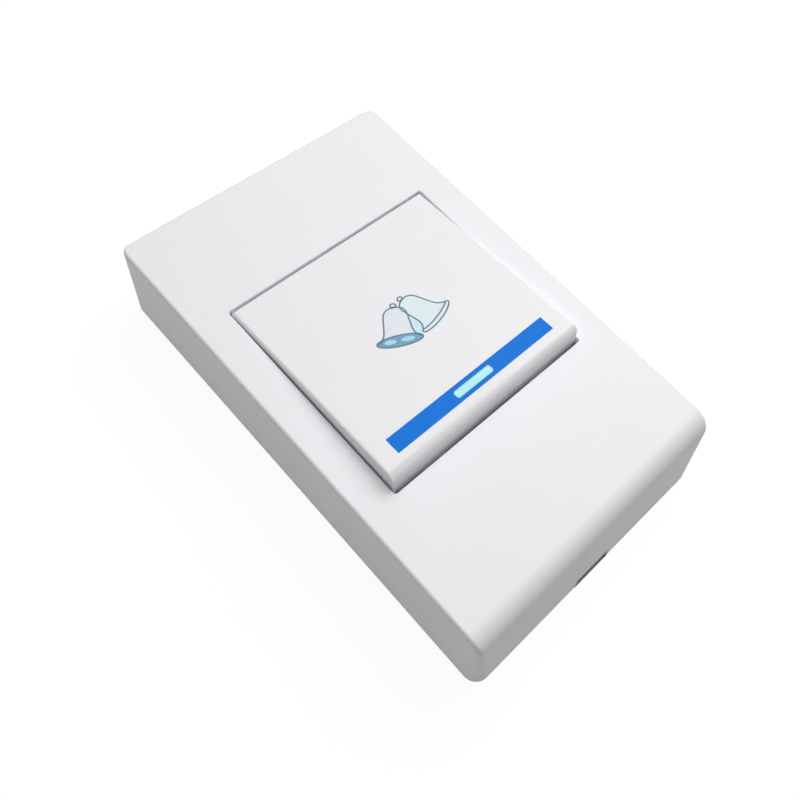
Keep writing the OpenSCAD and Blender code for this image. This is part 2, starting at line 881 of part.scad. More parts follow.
// Bent leg that leaves a chip's side and ends flat on the board
module bent_leg(hold_z) {
    foot = 0.5;
    along_x(leg_w)
        polygon([
            [0, hold_z],
            [leg_out - foot, hold_z],
            [leg_out - foot, 0],
            [leg_out, 0],
            [leg_out, leg_t],
            [leg_out - foot + leg_t, leg_t],
            [leg_out - foot + leg_t, hold_z + leg_t],
            [0, hold_z + leg_t]
        ]);
}

module encoder_chip() {
    color(black)
        chip_block(chip_pos, chip_len, chip_wid, chip_t);
}

module encoder_legs() {
    color(copper_tin)
        for (side = [0, 1], i = [-1.5 : 1 : 1.5])
            translate([chip_pos[0] + i * leg_pitch, chip_pos[1], board_z])
                mirror([0, side, 0])
                    translate([0, chip_wid / 2, 0])
                        bent_leg(chip_t / 2);
}

module transistor_body() {
    color(black)
        chip_block(transistor_pos, transistor_len, transistor_wid, transistor_t);
}

module transistor_legs() {
    color(copper_tin)
        for (leg = [[-0.5, 0], [0.5, 0], [0, 1]])
            translate([transistor_pos[0] + leg[0] * transistor_pitch, transistor_pos[1], board_z])
                mirror([0, leg[1], 0])
                    translate([0, transistor_wid / 2, 0])
                        bent_leg(transistor_t / 2);
}

module saw_resonator() {
    rim_h = 0.5;
    rim_w = 0.25;
    color(steel)
        translate([can_pos[0], can_pos[1], board_z]) {
            cylinder(r = can_r, h = can_h);
            cylinder(r = can_r + rim_w, h = rim_h);
        }
}

// Row of small chip parts lying flat on the board
module chip_row(x, y, thick) {
    for (i = [0 : smd_count - 1])
        translate([x + i * smd_pitch - smd_wid / 2, y - smd_len / 2, board_z])
            cube([smd_wid, smd_len, thick]);
}

module resistors() {
    color(black)
        chip_row(-resistor_side, board_hi - resistor_down, resistor_t);
}

module capacitors() {
    color(copper_tin)
        chip_row(-capacitor_side, board_hi - capacitor_down, capacitor_t);
}

module battery_body() {
    color(battery_gold)
        translate([bat_x, bat_y, bat_z])
            rotate([0, 90, 0])
                cylinder(r = bat_r, h = bat_len);
}

module battery_terminal() {
    color(steel)
        translate([bat_x + bat_len, bat_y, bat_z])
            rotate([0, 90, 0])
                cylinder(r = bat_tip_r, h = bat_tip_h);
}

// Contact plate with a tail that runs over the board and a pin that goes through it
module contact_plate(x) {
    tail_lift = 0.05;
    tail_h = 1.4;
    pin_hw = 0.4;
    foot = 0.8;
    translate([x + contact_t / 2, 0, 0])
        along_x(contact_t)
            polygon([
                [bat_y - contact_w / 2, bat_z - contact_aft],
                [bat_y + contact_w / 2, bat_z - contact_aft],
                [bat_y + contact_w / 2, board_z + tail_lift],
                [tail_y - pin_hw, board_z + tail_lift],
                [tail_y - pin_hw, board_back - foot],
                [tail_y + pin_hw, board_back - foot],
                [tail_y + pin_hw, board_z + tail_h],
                [bat_y + contact_w / 2, board_z + tail_h],
                [bat_y + contact_w / 2, bat_z + contact_fore],
                [bat_y - contact_w / 2, bat_z + contact_fore]
            ]);
}

module negative_contact() {
    color(steel)
        contact_plate(minus_x - contact_t);
}

module positive_contact() {
    color(steel)
        contact_plate(plus_x);
}

// Cone-shaped contact spring, one wire from its wide end on the plate to its narrow end on the battery
spring_turns = 3.5;
ring_count = 8 * spring_turns;
wire_sides = 6;
spring_step = (spring_len - 2 * wire_r - 2 * touch) / ring_count;
function ring_r(i) = spring_wide_r + (spring_narrow_r - spring_wide_r) * i / ring_count;
function ring_x(i) = minus_x + touch + wire_r + spring_step * i;
function wire_point(i, k) =
    let (turn = 45 * i, lap = 360 * k / wire_sides, r = ring_r(i) + wire_r * cos(lap))
    [ring_x(i) + wire_r * sin(lap), bat_y + r * cos(turn), bat_z + r * sin(turn)];
spring_points = [for (i = [0 : ring_count], k = [0 : wire_sides - 1]) wire_point(i, k)];
function ring_at(i, k) = i * wire_sides + k % wire_sides;
spring_faces = concat(
    [for (i = [0 : ring_count - 1], k = [0 : wire_sides - 1])
        [ring_at(i, k), ring_at(i + 1, k), ring_at(i + 1, k + 1)]],
    [for (i = [0 : ring_count - 1], k = [0 : wire_sides - 1])
        [ring_at(i, k), ring_at(i + 1, k + 1), ring_at(i, k + 1)]],
    [for (k = [1 : wire_sides - 2]) [ring_at(0, 0), ring_at(0, k), ring_at(0, k + 1)]],
    [for (k = [1 : wire_sides - 2]) [ring_at(ring_count, 0), ring_at(ring_count, k + 1), ring_at(ring_count, k)]]
);
spring_gap = min([
    for (i = [0 : ring_count - 7], j = [i + 7 : min(i + 9, ring_count)], k = [0 : 5], m = [0 : 5])
        norm(wire_point(i, k) - wire_point(j, m))
]);

module negative_spring() {
    echo(spring_gap = spring_gap);
    color(steel)
        polyhedron(spring_points, spring_faces);
}

front_case();
back_cover();
push_button();
indicator_window();
circuit_board();
board_screws();
switch_base();
switch_cover();
switch_legs();
switch_stem();
led_lens();
led_leads();
encoder_chip();
encoder_legs();
transistor_body();
transistor_legs();
saw_resonator();
resistors();
capacitors();
battery_body();
battery_terminal();
negative_spring();
negative_contact();
positive_contact();
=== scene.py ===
"""Looks of a wireless doorbell push unit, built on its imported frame.

Lengths are in millimetres unless a name ends in _m; the meshes themselves are in metres.
The back lies on the floor, +Z is the front and +Y is the upper end.
"""

import logging
import math
from collections.abc import Callable, Iterable, Sequence
from dataclasses import dataclass, field
from enum import Enum

import bmesh
import bpy
from mathutils import Matrix, Vector


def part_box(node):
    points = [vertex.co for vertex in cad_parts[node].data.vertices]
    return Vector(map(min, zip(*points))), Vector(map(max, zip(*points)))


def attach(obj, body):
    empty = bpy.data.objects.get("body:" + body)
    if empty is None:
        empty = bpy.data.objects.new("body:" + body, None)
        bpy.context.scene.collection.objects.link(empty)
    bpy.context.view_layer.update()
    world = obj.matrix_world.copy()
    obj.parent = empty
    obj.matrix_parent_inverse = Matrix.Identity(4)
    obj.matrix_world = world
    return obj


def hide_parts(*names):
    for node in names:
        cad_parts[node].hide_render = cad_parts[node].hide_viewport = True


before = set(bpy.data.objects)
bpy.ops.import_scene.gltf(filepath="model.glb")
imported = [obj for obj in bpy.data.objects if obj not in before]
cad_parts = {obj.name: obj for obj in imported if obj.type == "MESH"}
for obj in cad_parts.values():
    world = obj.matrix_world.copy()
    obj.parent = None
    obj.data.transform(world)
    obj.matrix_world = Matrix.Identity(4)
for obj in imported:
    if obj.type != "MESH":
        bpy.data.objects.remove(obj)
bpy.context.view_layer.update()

LOG = logging.getLogger("doorbell")
MM = 0.001

# Points nearer than this are one, in a new mesh and in a mesh of the frame
SAME_POINT_M = 1e-7
SAME_FRAME_POINT_M = 1e-6

# Angles at which faces are one flat, an edge is sharp and a bevel starts
FLAT_DEGREES = 0.3
CREASE_DEGREES = 32
BEVEL_DEGREES = 40
BEVEL_STEPS = 2
NORMAL_WEIGHT = 80

# Strengths of a pattern at which a blend starts and ends
WEAK = 0.3
STRONG = 0.7

# Rows of chip parts on the board
CHIP_COUNT = 5
CHIP_PITCH = 4.0

# Room between the button's face and the ink's underside
INK_LIFT = 0.001

Point = tuple[float, float, float]
Spot = tuple[float, float]
Colour = tuple[float, float, float]
Outline = Callable[[float], list[Spot]]


class Body(Enum):
    """Bodies of the frame that new pieces move with."""

    FRONT = "front"
    BUTTON = "button"
    STEM = "stem"


class Join(Enum):
    """Ways to work one solid into another."""

    ADD = "UNION"
    CUT = "DIFFERENCE"
    KEEP_COMMON = "INTERSECT"


class Sum(Enum):
    """Ways to work out a value in a material."""

    PRODUCT = "MULTIPLY"
    LARGER = "MAXIMUM"
    NEARLY = "COMPARE"
    BELOW = "LESS_THAN"


# Outlines and curves


def arc(start: float, end: float, steps: int) -> list[float]:
    """Angles of an even sweep.

    Args:
        start: first angle in degrees.
        end: last angle in degrees.
        steps: number of equal steps.

    Returns:
        The angles in radians, both ends included.
    """
    return [math.radians(start + (end - start) * i / steps) for i in range(steps + 1)]


def rounded_edge(r: float, top: float, steps: int, sweep: float = 90) -> list[Spot]:
    """Rounding of an upper edge, from the side to the top.

    Args:
        r: radius of the rounding.
        top: height of the top.
        steps: number of equal steps.
        sweep: angle in degrees that the rounding turns through.

    Returns:
        Distance from the side and height of each step.
    """
    return [(r * (1 - math.cos(a)), top - r * (1 - math.sin(a))) for a in arc(0, sweep, steps)]


def rounded_rect(
    half_width: float, half_length: float, r: float, middle: Spot = (0, 0), steps: int = 6
) -> list[Spot]:
    """Outline of a rectangle with round corners, counter-clockwise.

    Args:
        half_width: half the size in X.
        half_length: half the size in Y.
        r: corner radius.
        middle: centre of the rectangle.
        steps: steps in each corner.

    Returns:
        The outline's points.
    """
    spots = []
    for quarter, (sx, sy) in enumerate(((1, 1), (-1, 1), (-1, -1), (1, -1))):
        x = middle[0] + sx * (half_width - r)
        y = middle[1] + sy * (half_length - r)
        for angle in arc(90 * quarter, 90 * quarter + 90, steps):
            spots.append((x + r * math.cos(angle), y + r * math.sin(angle)))
    return spots


def circle(r: float, middle: Spot = (0, 0), steps: int = 32) -> list[Spot]:
    """Outline of a circle.

    Args:
        r: radius.
        middle: centre of the circle.
        steps: number of points.

    Returns:
        The outline's points.
    """
    turns = arc(0, 360, steps)[:-1]
    return [(middle[0] + r * math.cos(a), middle[1] + r * math.sin(a)) for a in turns]


def bezier(ends: Sequence[Sequence[float]], steps: int) -> list[tuple[float, ...]]:
    """Points of one cubic curve, flat or in space.

    Args:
        ends: start, two pulls and end.
        steps: number of equal steps.

    Returns:
        The points, both ends included.
    """
    points = []
    for i in range(steps + 1):
        t = i / steps
        share = ((1 - t) ** 3, 3 * t * (1 - t) ** 2, 3 * t * t * (1 - t), t**3)
        points.append(tuple(sum(k * p[axis] for k, p in zip(share, ends)) for axis in range(len(ends[0]))))
    return points


def curve(*pieces: Sequence[Spot], steps: int = 8) -> list[Spot]:
    """Line made of cubic curves that follow one another.

    Args:
        pieces: the curves, each with its start, two pulls and end.
        steps: steps in each curve.

    Returns:
        The line's points.
    """
    line = [pieces[0][0]]
    for piece in pieces:
        line += bezier(piece, steps)[1:]
    return line


def ellipse(
    half_long: float, half_short: float, middle: Spot, tilt: float, steps: int = 32
) -> list[Spot]:
    """Outline of an ellipse.

    Args:
        half_long: half the size along its own X.
        half_short: half the size along its own Y.
        middle: centre of the ellipse.
        tilt: turn in degrees.
        steps: number of points.

    Returns:
        The outline's points.
    """
    c, s = math.cos(math.radians(tilt)), math.sin(math.radians(tilt))
    spots = []
    for a in arc(0, 360, steps)[:-1]:
        x, y = half_long * math.cos(a), half_short * math.sin(a)
        spots.append((middle[0] + c * x - s * y, middle[1] + s * x + c * y))
    return spots


# Meshes


@dataclass
class MeshDraft:
    """Points and faces of a mesh in the making."""

    points: list[Point] = field(default_factory=list)
    faces: list[list[int]] = field(default_factory=list)

    def ring(self, points: Iterable[Point]) -> list[int]:
        """Add points.

        Args:
            points: the points to add.

        Returns:
            Their numbers.
        """
        first = len(self.points)
        self.points.extend(points)
        return list(range(first, len(self.points)))

    def strip(self, one: Sequence[int], two: Sequence[int], closed: bool = True) -> None:
        """Join two rows of points with quads.

        Args:
            one: numbers of the first row.
            two: numbers of the second row, as many.
            closed: whether the rows run round.
        """
        count = len(one)
        for i in range(count if closed else count - 1):
            j = (i + 1) % count
            self.faces.append([one[i], one[j], two[j], two[i]])

    def loft(self, rings: Sequence[Iterable[Point]], closed: bool = True, caps: bool = True) -> None:
        """Join rows of points one after the other.

        Args:
            rings: the rows, each with as many points.
            closed: whether each row runs round.
            caps: whether the first and the last row are closed with a face.
        """
        made = [self.ring(row) for row in rings]
        for one, two in zip(made, made[1:]):
            self.strip(one, two, closed)
        if caps:
            self.faces.append(made[0][::-1])
            self.faces.append(list(made[-1]))

    def prism(self, outline: Outline, low: float, high: float, edge: float, steps: int = 4) -> None:
        """Upright solid with a rounded top edge.

        Args:
            outline: outline of the solid, drawn in by the length it is given.
            low: height of the foot.
            high: height of the top.
            edge: rounding of the top edge.
            steps: steps in the rounding.
        """
        levels = [(0, low), *rounded_edge(edge, high, steps)]
        self.loft([[(x, y, z) for x, y in outline(inset)] for inset, z in levels])

    def lathe(self, profile: Sequence[Spot], turn: Matrix, steps: int = 40) -> None:
        """Turned solid.

        Args:
            profile: radius and height of each ring, from foot to top.
            turn: places the solid, whose axis is +Z.
            steps: points in each ring.
        """
        rings = [[tuple(turn @ Vector((x, y, z))) for x, y in circle(r, steps=steps)] for r, z in profile]
        self.loft(rings)

    def ribbon(
        self, line: Sequence[Spot], width: float, low: float, high: float, closed: bool = False
    ) -> None:
        """Thin flat band along a line.

        Args:
            line: the band's middle line.
            width: width of the band.
            low: height of its underside.
            high: height of its top.
            closed: whether the line runs round.
        """
        rings = []
        count = len(line)
        for i, spot in enumerate(line):
            before = line[(i - 1) % count] if closed or i else spot
            after = line[(i + 1) % count] if closed or i < count - 1 else spot
            along = (Vector(after) - Vector(before)).normalized()
            side = Vector((-along.y, along.x)) * width / 2
            left, right = Vector(spot) + side, Vector(spot) - side
            rings.append([(*left, low), (*left, high), (*right, high), (*right, low)])
        if closed:
            rings.append(rings[0])
        self.loft(rings, caps=not closed)

    def plate(self, outline: Sequence[Spot], low: float, high: float) -> None:
        """Thin flat plate.

        Args:
            outline: outline of the plate.
            low: height of its underside.
            high: height of its top.
        """
        self.loft([[(*spot, z) for spot in outline] for z in (low, high)])

    def washer(self, outer: Sequence[Spot], inner: Sequence[Spot], low: float, high: float) -> None:
        """Thin flat plate with a hole.

        Args:
            outer: outline of the plate.
            inner: outline of the hole, with as many points.
            low: height of its underside.
            high: height of its top.
        """
        rings = [[(*s, low) for s in outer], [(*s, high) for s in outer]]
        rings += [[(*s, high) for s in inner], [(*s, low) for s in inner]]
        self.loft(rings + rings[:1], caps=False)

    def tube(self, line: Sequence[Point], r: float, sides: int = 14) -> None:
        """Round wire along a line in space.

        Args:
            line: the wire's middle line.
            r: radius of the wire.
            sides: points in each ring.
        """
        path = [Vector(p) for p in line]
        side = (path[1] - path[0]).orthogonal().normalized()
        rings = []
        for i, spot in enumerate(path):
            along = (path[min(i + 1, len(path) - 1)] - path[max(i - 1, 0)]).normalized()
            side = (side - along * side.dot(along)).normalized()
            other = along.cross(side)
            rings.append([tuple(spot + side * x + other * y) for x, y in circle(r, steps=sides)])
        self.loft(rings)

    def bend(self, change: Callable[[Point], Point]) -> None:
        """Move every point.

        Args:
            change: gives a point's new place.
        """
        self.points = [change(p) for p in self.points]

    def build(self, name: str) -> bpy.types.Object:
        """Make the mesh.

        Args:
            name: name of the new object.

        Returns:
            The object, in the scene.
        """
        work = bmesh.new()
        verts = [work.verts.new(Vector(p) * MM) for p in self.points]
        for face in self.faces:
            work.faces.new([verts[i] for i in face])
        bmesh.ops.remove_doubles(work, verts=work.verts, dist=SAME_POINT_M)
        bmesh.ops.dissolve_degenerate(work, edges=work.edges, dist=SAME_POINT_M)
        bmesh.ops.recalc_face_normals(work, faces=work.faces)
        mesh = bpy.data.meshes.new(name)
        work.to_mesh(mesh)
        work.free()
        return place(name, mesh)


def box_mm(node: str) -> tuple[Vector, Vector]:
    """Low and high corner of a frame node's box in millimetres."""
    low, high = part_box(node)
    return low / MM, high / MM


def foot_middle(node: str) -> Matrix:
    """Place of the middle of a frame node's foot in millimetres."""
    low, high = box_mm(node)
    return Matrix.Translation(((low.x + high.x) / 2, (low.y + high.y) / 2, low.z))


def bevelled_rim(r: float, height: float, bevel: float) -> list[Spot]:
    """Profile of a turned rim with small bevels.

    Args:
        r: radius of the rim.
        height: its height.
        bevel: size of the bevels.

    Returns:
        Radius and height of each ring.
    """
    return [(r - bevel, 0), (r, bevel), (r, height - bevel), (r - bevel, height)]


def quarter_middles(node: str) -> list[Spot]:
    """Middles of a frame node's four like parts, one in each quarter of its box.

    Args:
        node: the node.

    Returns:
        The middles seen from the front.
    """
    low, high = box_mm(node)
    points = [v.co / MM - (low + high) / 2 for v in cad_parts[node].data.vertices]
    spots = []
    for sx, sy in ((-1, 1), (1, 1), (-1, -1), (1, -1)):
        part = [p for p in points if p.x * sx > 0 and p.y * sy > 0]
        x = (min(p.x for p in part) + max(p.x for p in part) + low.x + high.x) / 2
        y = (min(p.y for p in part) + max(p.y for p in part) + low.y + high.y) / 2
        spots.append((x, y))
    return spots


def place(name: str, mesh: bpy.types.Mesh) -> bpy.types.Object:
    """Put a mesh in the scene.

    Args:
        name: name of the new object.
        mesh: the object's mesh.

    Returns:
        The object.
    """
    piece = bpy.data.objects.new(name, mesh)
    bpy.context.scene.collection.objects.link(piece)
    return piece


def copy_of_node(node: str, name: str) -> bpy.types.Object:
    """Closed copy of a frame node's mesh.

    Args:
        node: the node to copy.
        name: name of the new object.

    Returns:
        The copy, with its points joined and its flat faces whole.
    """
    work = bmesh.new()
    work.from_mesh(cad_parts[node].data)
    bmesh.ops.remove_doubles(work, verts=work.verts, dist=SAME_FRAME_POINT_M)
    bmesh.ops.dissolve_limit(
        work, angle_limit=math.radians(FLAT_DEGREES), verts=work.verts, edges=work.edges, delimit=set()
    )
    mesh = bpy.data.meshes.new(name)
    work.to_mesh(mesh)
    work.free()
    return place(name, mesh)


def work_in(piece: bpy.types.Object, tool: bpy.types.Object, how: Join) -> None:
    """Work one solid into another and drop it.

    Args:
        piece: the solid that stays.
        tool: the solid that is worked in.
        how: whether it is added, cut out, or only the common part stays.
    """
    modifier = piece.modifiers.new("work", "BOOLEAN")
    modifier.object = tool
    modifier.operation = how.value
    modifier.solver = "EXACT"
    ready = piece.evaluated_get(bpy.context.evaluated_depsgraph_get())
    mesh = bpy.data.meshes.new_from_object(ready)
    piece.modifiers.clear()
    piece.data = mesh
    bpy.data.objects.remove(tool)


def shade(piece: bpy.types.Object, crease: float = CREASE_DEGREES) -> None:
    """Shade a piece's curves smooth and its flats flat.

    Args:
        piece: the piece to shade.
        crease: angle in degrees above which an edge stays sharp.
    """
    piece.data.shade_smooth()
    piece.data.set_sharp_from_angle(angle=math.radians(crease))
    normals = piece.modifiers.new("normals", "WEIGHTED_NORMAL")
    normals.keep_sharp = True
    normals.weight = NORMAL_WEIGHT


def soften(node: str, width: float) -> None:
    """Round the edges of a frame node that keeps its own mesh.

    Args:
        node: the node.
        width: width of the rounding.
    """
    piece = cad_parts[node]
    weld = piece.modifiers.new("weld", "WELD")
    weld.merge_threshold = SAME_FRAME_POINT_M
    bevel = piece.modifiers.new("edges", "BEVEL")
    bevel.width = width * MM
    bevel.segments = BEVEL_STEPS
    bevel.limit_method = "ANGLE"
    bevel.angle_limit = math.radians(BEVEL_DEGREES)
    normals = piece.modifiers.new("normals", "WEIGHTED_NORMAL")
    normals.weight = NORMAL_WEIGHT


# Finishes


def connect(tree: bpy.types.NodeTree, socket: bpy.types.NodeSocket, value: object) -> None:
    """Give a node's input a link or a constant.

    Args:
        tree: the node tree.
        socket: the input.
        value: a socket to link, or a constant.
    """
    if isinstance(value, bpy.types.NodeSocket):
        tree.links.new(value, socket)
    else:
        socket.default_value = value


def work_out(tree: bpy.types.NodeTree, how: Sum, *values: object) -> bpy.types.NodeSocket:
    """Add a node that works out a value.

    Args:
        tree: the node tree.
        how: what is worked out.
        values: a socket or a constant for each input.

    Returns:
        The value.
    """
    node = tree.nodes.new("ShaderNodeMath")
    node.operation = how.value
    for socket, value in zip(node.inputs, values):
        connect(tree, socket, value)
    return node.outputs[0]


def mixed(
    tree: bpy.types.NodeTree,
    share: bpy.types.NodeSocket,
    one: bpy.types.NodeSocket,
    two: bpy.types.NodeSocket,
) -> bpy.types.NodeSocket:
    """Add a node that mixes two shaders.

    Args:
        tree: the node tree.
        share: share of the second shader.
        one: the first shader.
        two: the second shader.

    Returns:
        The mixed shader.
    """
    node = tree.nodes.new("ShaderNodeMixShader")
    for socket, source in zip(node.inputs, (share, one, two)):
        tree.links.new(source, socket)
    return node.outputs[0]


class NodeSheet:
    """Short way to write the nodes of a material."""

    def __init__(self, name: str) -> None:
        """Start a material with one surface shader.

        Args:
            name: name of the material.
        """
        self.material = bpy.data.materials.new(name)
        self.material.use_nodes = True
        self.tree = self.material.node_tree
        self.surface = self.tree.nodes["Principled BSDF"]
        self.place = self.add("ShaderNodeTexCoord").outputs["Object"]

    def add(self, kind: str, **inputs: object) -> bpy.types.Node:
        """Add a node.

        Args:
            kind: Blender's name for the node.
            inputs: a value or a socket for each input, named with _ for a space.

        Returns:
            The node.
        """
        node = self.tree.nodes.new(kind)
        for name, value in inputs.items():
            self.feed(node, name.replace("_", " "), value)
        return node

    def feed(self, node: bpy.types.Node, name: str, value: object) -> None:
        """Give a node's input a value or a link.

        Args:
            node: the node.
            name: the input's name.
            value: a socket to link, or a constant.
        """
        connect(self.tree, node.inputs[name], value)

    def noise(self, size: float, detail: float = 2, stretch: Point | None = None) -> bpy.types.NodeSocket:
        """Cloudy pattern.

        Args:
            size: size of its patches.
            detail: number of finer layers.
            stretch: scale of the place in each direction, or None for an even pattern.

        Returns:
            The pattern's strength, from 0 to 1.
        """
        place = self.place
        if stretch:
            place = self.add("ShaderNodeMapping", Vector=place, Scale=stretch).outputs["Vector"]
        cloud = self.add("ShaderNodeTexNoise", Vector=place, Scale=1 / (size * MM), Detail=detail)
        return cloud.outputs["Fac"]

    def spread(self, source: bpy.types.NodeSocket, low: float, high: float) -> bpy.types.NodeSocket:
        """Pattern turned into a range of values.

        Args:
            source: the pattern.
            low: value where it is weak.
            high: value where it is strong.

        Returns:
            The values.
        """
        node = self.add("ShaderNodeMapRange", Value=source, To_Min=low, To_Max=high)
        self.feed(node, "From Min", WEAK)
        self.feed(node, "From Max", STRONG)
        return node.outputs["Result"]

    def blend(self, source: bpy.types.NodeSocket, one: Colour, two: Colour) -> bpy.types.NodeSocket:
        """Pattern turned into a mix of two colours.

        Args:
            source: the pattern.
            one: colour where it is weak.
            two: colour where it is strong.

        Returns:
            The mixed colour.
        """
        node = self.add("ShaderNodeValToRGB", Fac=source)
        for stop, position, colour in zip(node.color_ramp.elements, (WEAK, STRONG), (one, two)):
            stop.position = position
            stop.color = (*colour, 1)
        return node.outputs["Color"]

    def relief(self, source: bpy.types.NodeSocket, depth: float, strength: float = 1) -> None:
        """Fine relief on the surface.

        Args:
            source: the pattern of the relief.
            depth: its depth.
            strength: how strongly it shows.
        """
        bump = self.add("ShaderNodeBump", Height=source, Distance=depth * MM, Strength=strength)
        self.feed(self.surface, "Normal", bump.outputs["Normal"])


@dataclass(frozen=True)
class Finish:
    """A surface finish with the name of its slot."""

    name: str
    slot: str

    def title(self) -> str:
        """Name of its material, apart from the frame's own plain materials."""
        return f"{self.name}_finish"

    def material(self) -> bpy.types.Material:
        """The finish as a material, made once."""
        return bpy.data.materials.get(self.title()) or self.make()

    def make(self) -> bpy.types.Material:
        """Write the material's nodes."""
        raise NotImplementedError(self.name)


@dataclass(frozen=True)
class MouldedPlastic(Finish):
    """Moulded plastic with a slightly uneven gloss."""

    colour: Colour
    tint: Colour
    roughness: float = 0.3
    grain: float = 0.5
    depth: float = 0.002
    uneven: float = 0.045
    cloud: float = 14.0
    patch: float = 5.0

    def make(self) -> bpy.types.Material:
        """Write the material's nodes.

        Returns:
            The material.
        """
        sheet = NodeSheet(self.title())
        cloud = sheet.noise(self.cloud, detail=3)
        sheet.feed(sheet.surface, "Base Color", sheet.blend(cloud, self.colour, self.tint))
        patches = sheet.noise(self.patch, detail=4)
        gloss = sheet.spread(patches, self.roughness - self.uneven, self.roughness + self.uneven)
        sheet.feed(sheet.surface, "Roughness", gloss)
        sheet.relief(sheet.noise(self.grain, detail=3), self.depth)
        return sheet.material


@dataclass(frozen=True)
class PrintInk(Finish):
    """Screen-printed ink with a faint mottle."""

    colour: Colour
    roughness: float = 0.45
    shine: float = 0.12
    uneven: float = 0.05
    paler: Spot = (1.04, 0.002)
    mottle: float = 0.8
    patch: float = 1.5
    grain: float = 0.15
    depth: float = 0.001

    def make(self) -> bpy.types.Material:
        """Write the material's nodes.

        Returns:
            The material.
        """
        sheet = NodeSheet(self.title())
        sheet.feed(sheet.surface, "Specular IOR Level", self.shine)
        times, more = self.paler
        lighter = tuple(min(1.0, c * times + more) for c in self.colour)
        mottle = sheet.noise(self.mottle, detail=3)
        sheet.feed(sheet.surface, "Base Color", sheet.blend(mottle, self.colour, lighter))
        patches = sheet.noise(self.patch)
        gloss = sheet.spread(patches, self.roughness - self.uneven, self.roughness + self.uneven)
        sheet.feed(sheet.surface, "Roughness", gloss)
        sheet.relief(sheet.noise(self.grain), self.depth)
        return sheet.material


@dataclass(frozen=True)
class PlatedMetal(Finish):
    """Plated or tinned metal with fine drawn lines and dull patches."""

    colour: Colour
    roughness: float = 0.28
    stretch: Point = (1, 1, 1)
    depth: float = 0.002
    uneven: Spot = (0.08, 0.12)
    duller: float = 0.86
    patch: float = 1.2
    line: float = 0.12

    def make(self) -> bpy.types.Material:
        """Write the material's nodes.

        Returns:
            The material.
        """
        sheet = NodeSheet(self.title())
        sheet.feed(sheet.surface, "Metallic", 1.0)
        duller = tuple(c * self.duller for c in self.colour)
        patches = sheet.noise(self.patch, detail=4)
        sheet.feed(sheet.surface, "Base Color", sheet.blend(patches, duller, self.colour))
        lines = sheet.noise(self.line, stretch=self.stretch)
        glossier, rougher = self.uneven
        gloss = sheet.spread(lines, self.roughness - glossier, self.roughness + rougher)
        sheet.feed(sheet.surface, "Roughness", gloss)
        sheet.relief(lines, self.depth)
        return sheet.material


@dataclass(frozen=True)
class ClearLens(Finish):
    """Clear or tinted resin with faint flow marks."""

    colour: Colour
    roughness: float = 0.08
    through: float = 0.85
    index: float = 1.5
    uneven: float = 0.06
    paler: float = 1.05
    cloud: float = 2.0
    patch: float = 1.0
    flow: float = 0.8
    depth: float = 0.004

    def make(self) -> bpy.types.Material:
        """Write the material's nodes.

        Returns:
            The material.
        """
        sheet = NodeSheet(self.title())
        paler = tuple(min(1.0, c * self.paler) for c in self.colour)
        sheet.feed(sheet.surface, "Base Color", sheet.blend(sheet.noise(self.cloud), self.colour, paler))
        gloss = sheet.spread(sheet.noise(self.patch), self.roughness, self.roughness + self.uneven)
        sheet.feed(sheet.surface, "Roughness", gloss)
        sheet.feed(sheet.surface, "Transmission Weight", self.through)
        sheet.feed(sheet.surface, "IOR", self.index)
        sheet.relief(sheet.noise(self.flow, detail=1), self.depth)
        return sheet.material


@dataclass(frozen=True)
class SolderMask(Finish):
    """Glossy lacquer over the faint weave of a circuit board."""

    colour: Colour
    weave: float = 0.45
    waves: float = 0.31
    waver: float = 0.4
    darker: float = 0.88
    patch: float = 3.0
    gloss: Spot = (0.22, 0.34)
    depth: float = 0.004
    strength: float = 0.6

    def make(self) -> bpy.types.Material:
        """Write the material's nodes.

        Returns:
            The material.
        """
        sheet = NodeSheet(self.title())
        threads = []
        for direction in ("X", "Y"):
            wave = sheet.add("ShaderNodeTexWave", Vector=sheet.place, Distortion=self.waver)
            wave.bands_direction = direction
            sheet.feed(wave, "Scale", self.waves / (self.weave * MM))
            threads.append(wave.outputs["Fac"])
        cross = work_out(sheet.tree, Sum.PRODUCT, *threads)
        darker = tuple(c * self.darker for c in self.colour)
        sheet.feed(sheet.surface, "Base Color", sheet.blend(cross, darker, self.colour))
        sheet.feed(sheet.surface, "Roughness", sheet.spread(sheet.noise(self.patch, detail=3), *self.gloss))
        sheet.relief(cross, self.depth, self.strength)
        return sheet.material


@dataclass(frozen=True)
class BatterySleeve(Finish):
    """Shrunk foil sleeve, metal-like, with a darker band at one end."""

    colour: Colour
    band: Colour
    band_start: float
    band_edge: float = 0.05
    metal: float = 0.75
    patch: float = 1.5
    gloss: Spot = (0.24, 0.36)
    crease: float = 0.9
    stretch: Point = (0.08, 1, 1)
    depth: float = 0.02
    strength: float = 0.4

    def make(self) -> bpy.types.Material:
        """Write the material's nodes.

        Returns:
            The material.
        """
        sheet = NodeSheet(self.title())
        split = sheet.add("ShaderNodeSeparateXYZ", Vector=sheet.place)
        edge = sheet.add("ShaderNodeMapRange", Value=split.outputs["X"])
        sheet.feed(edge, "From Min", (self.band_start - self.band_edge) * MM)
        sheet.feed(edge, "From Max", (self.band_start + self.band_edge) * MM)
        sheet.feed(sheet.surface, "Base Color", sheet.blend(edge.outputs["Result"], self.colour, self.band))
        sheet.feed(sheet.surface, "Metallic", self.metal)
        sheet.feed(sheet.surface, "Roughness", sheet.spread(sheet.noise(self.patch, detail=4), *self.gloss))
        creases = sheet.noise(self.crease, detail=3, stretch=self.stretch)
        sheet.relief(creases, self.depth, self.strength)
        return sheet.material


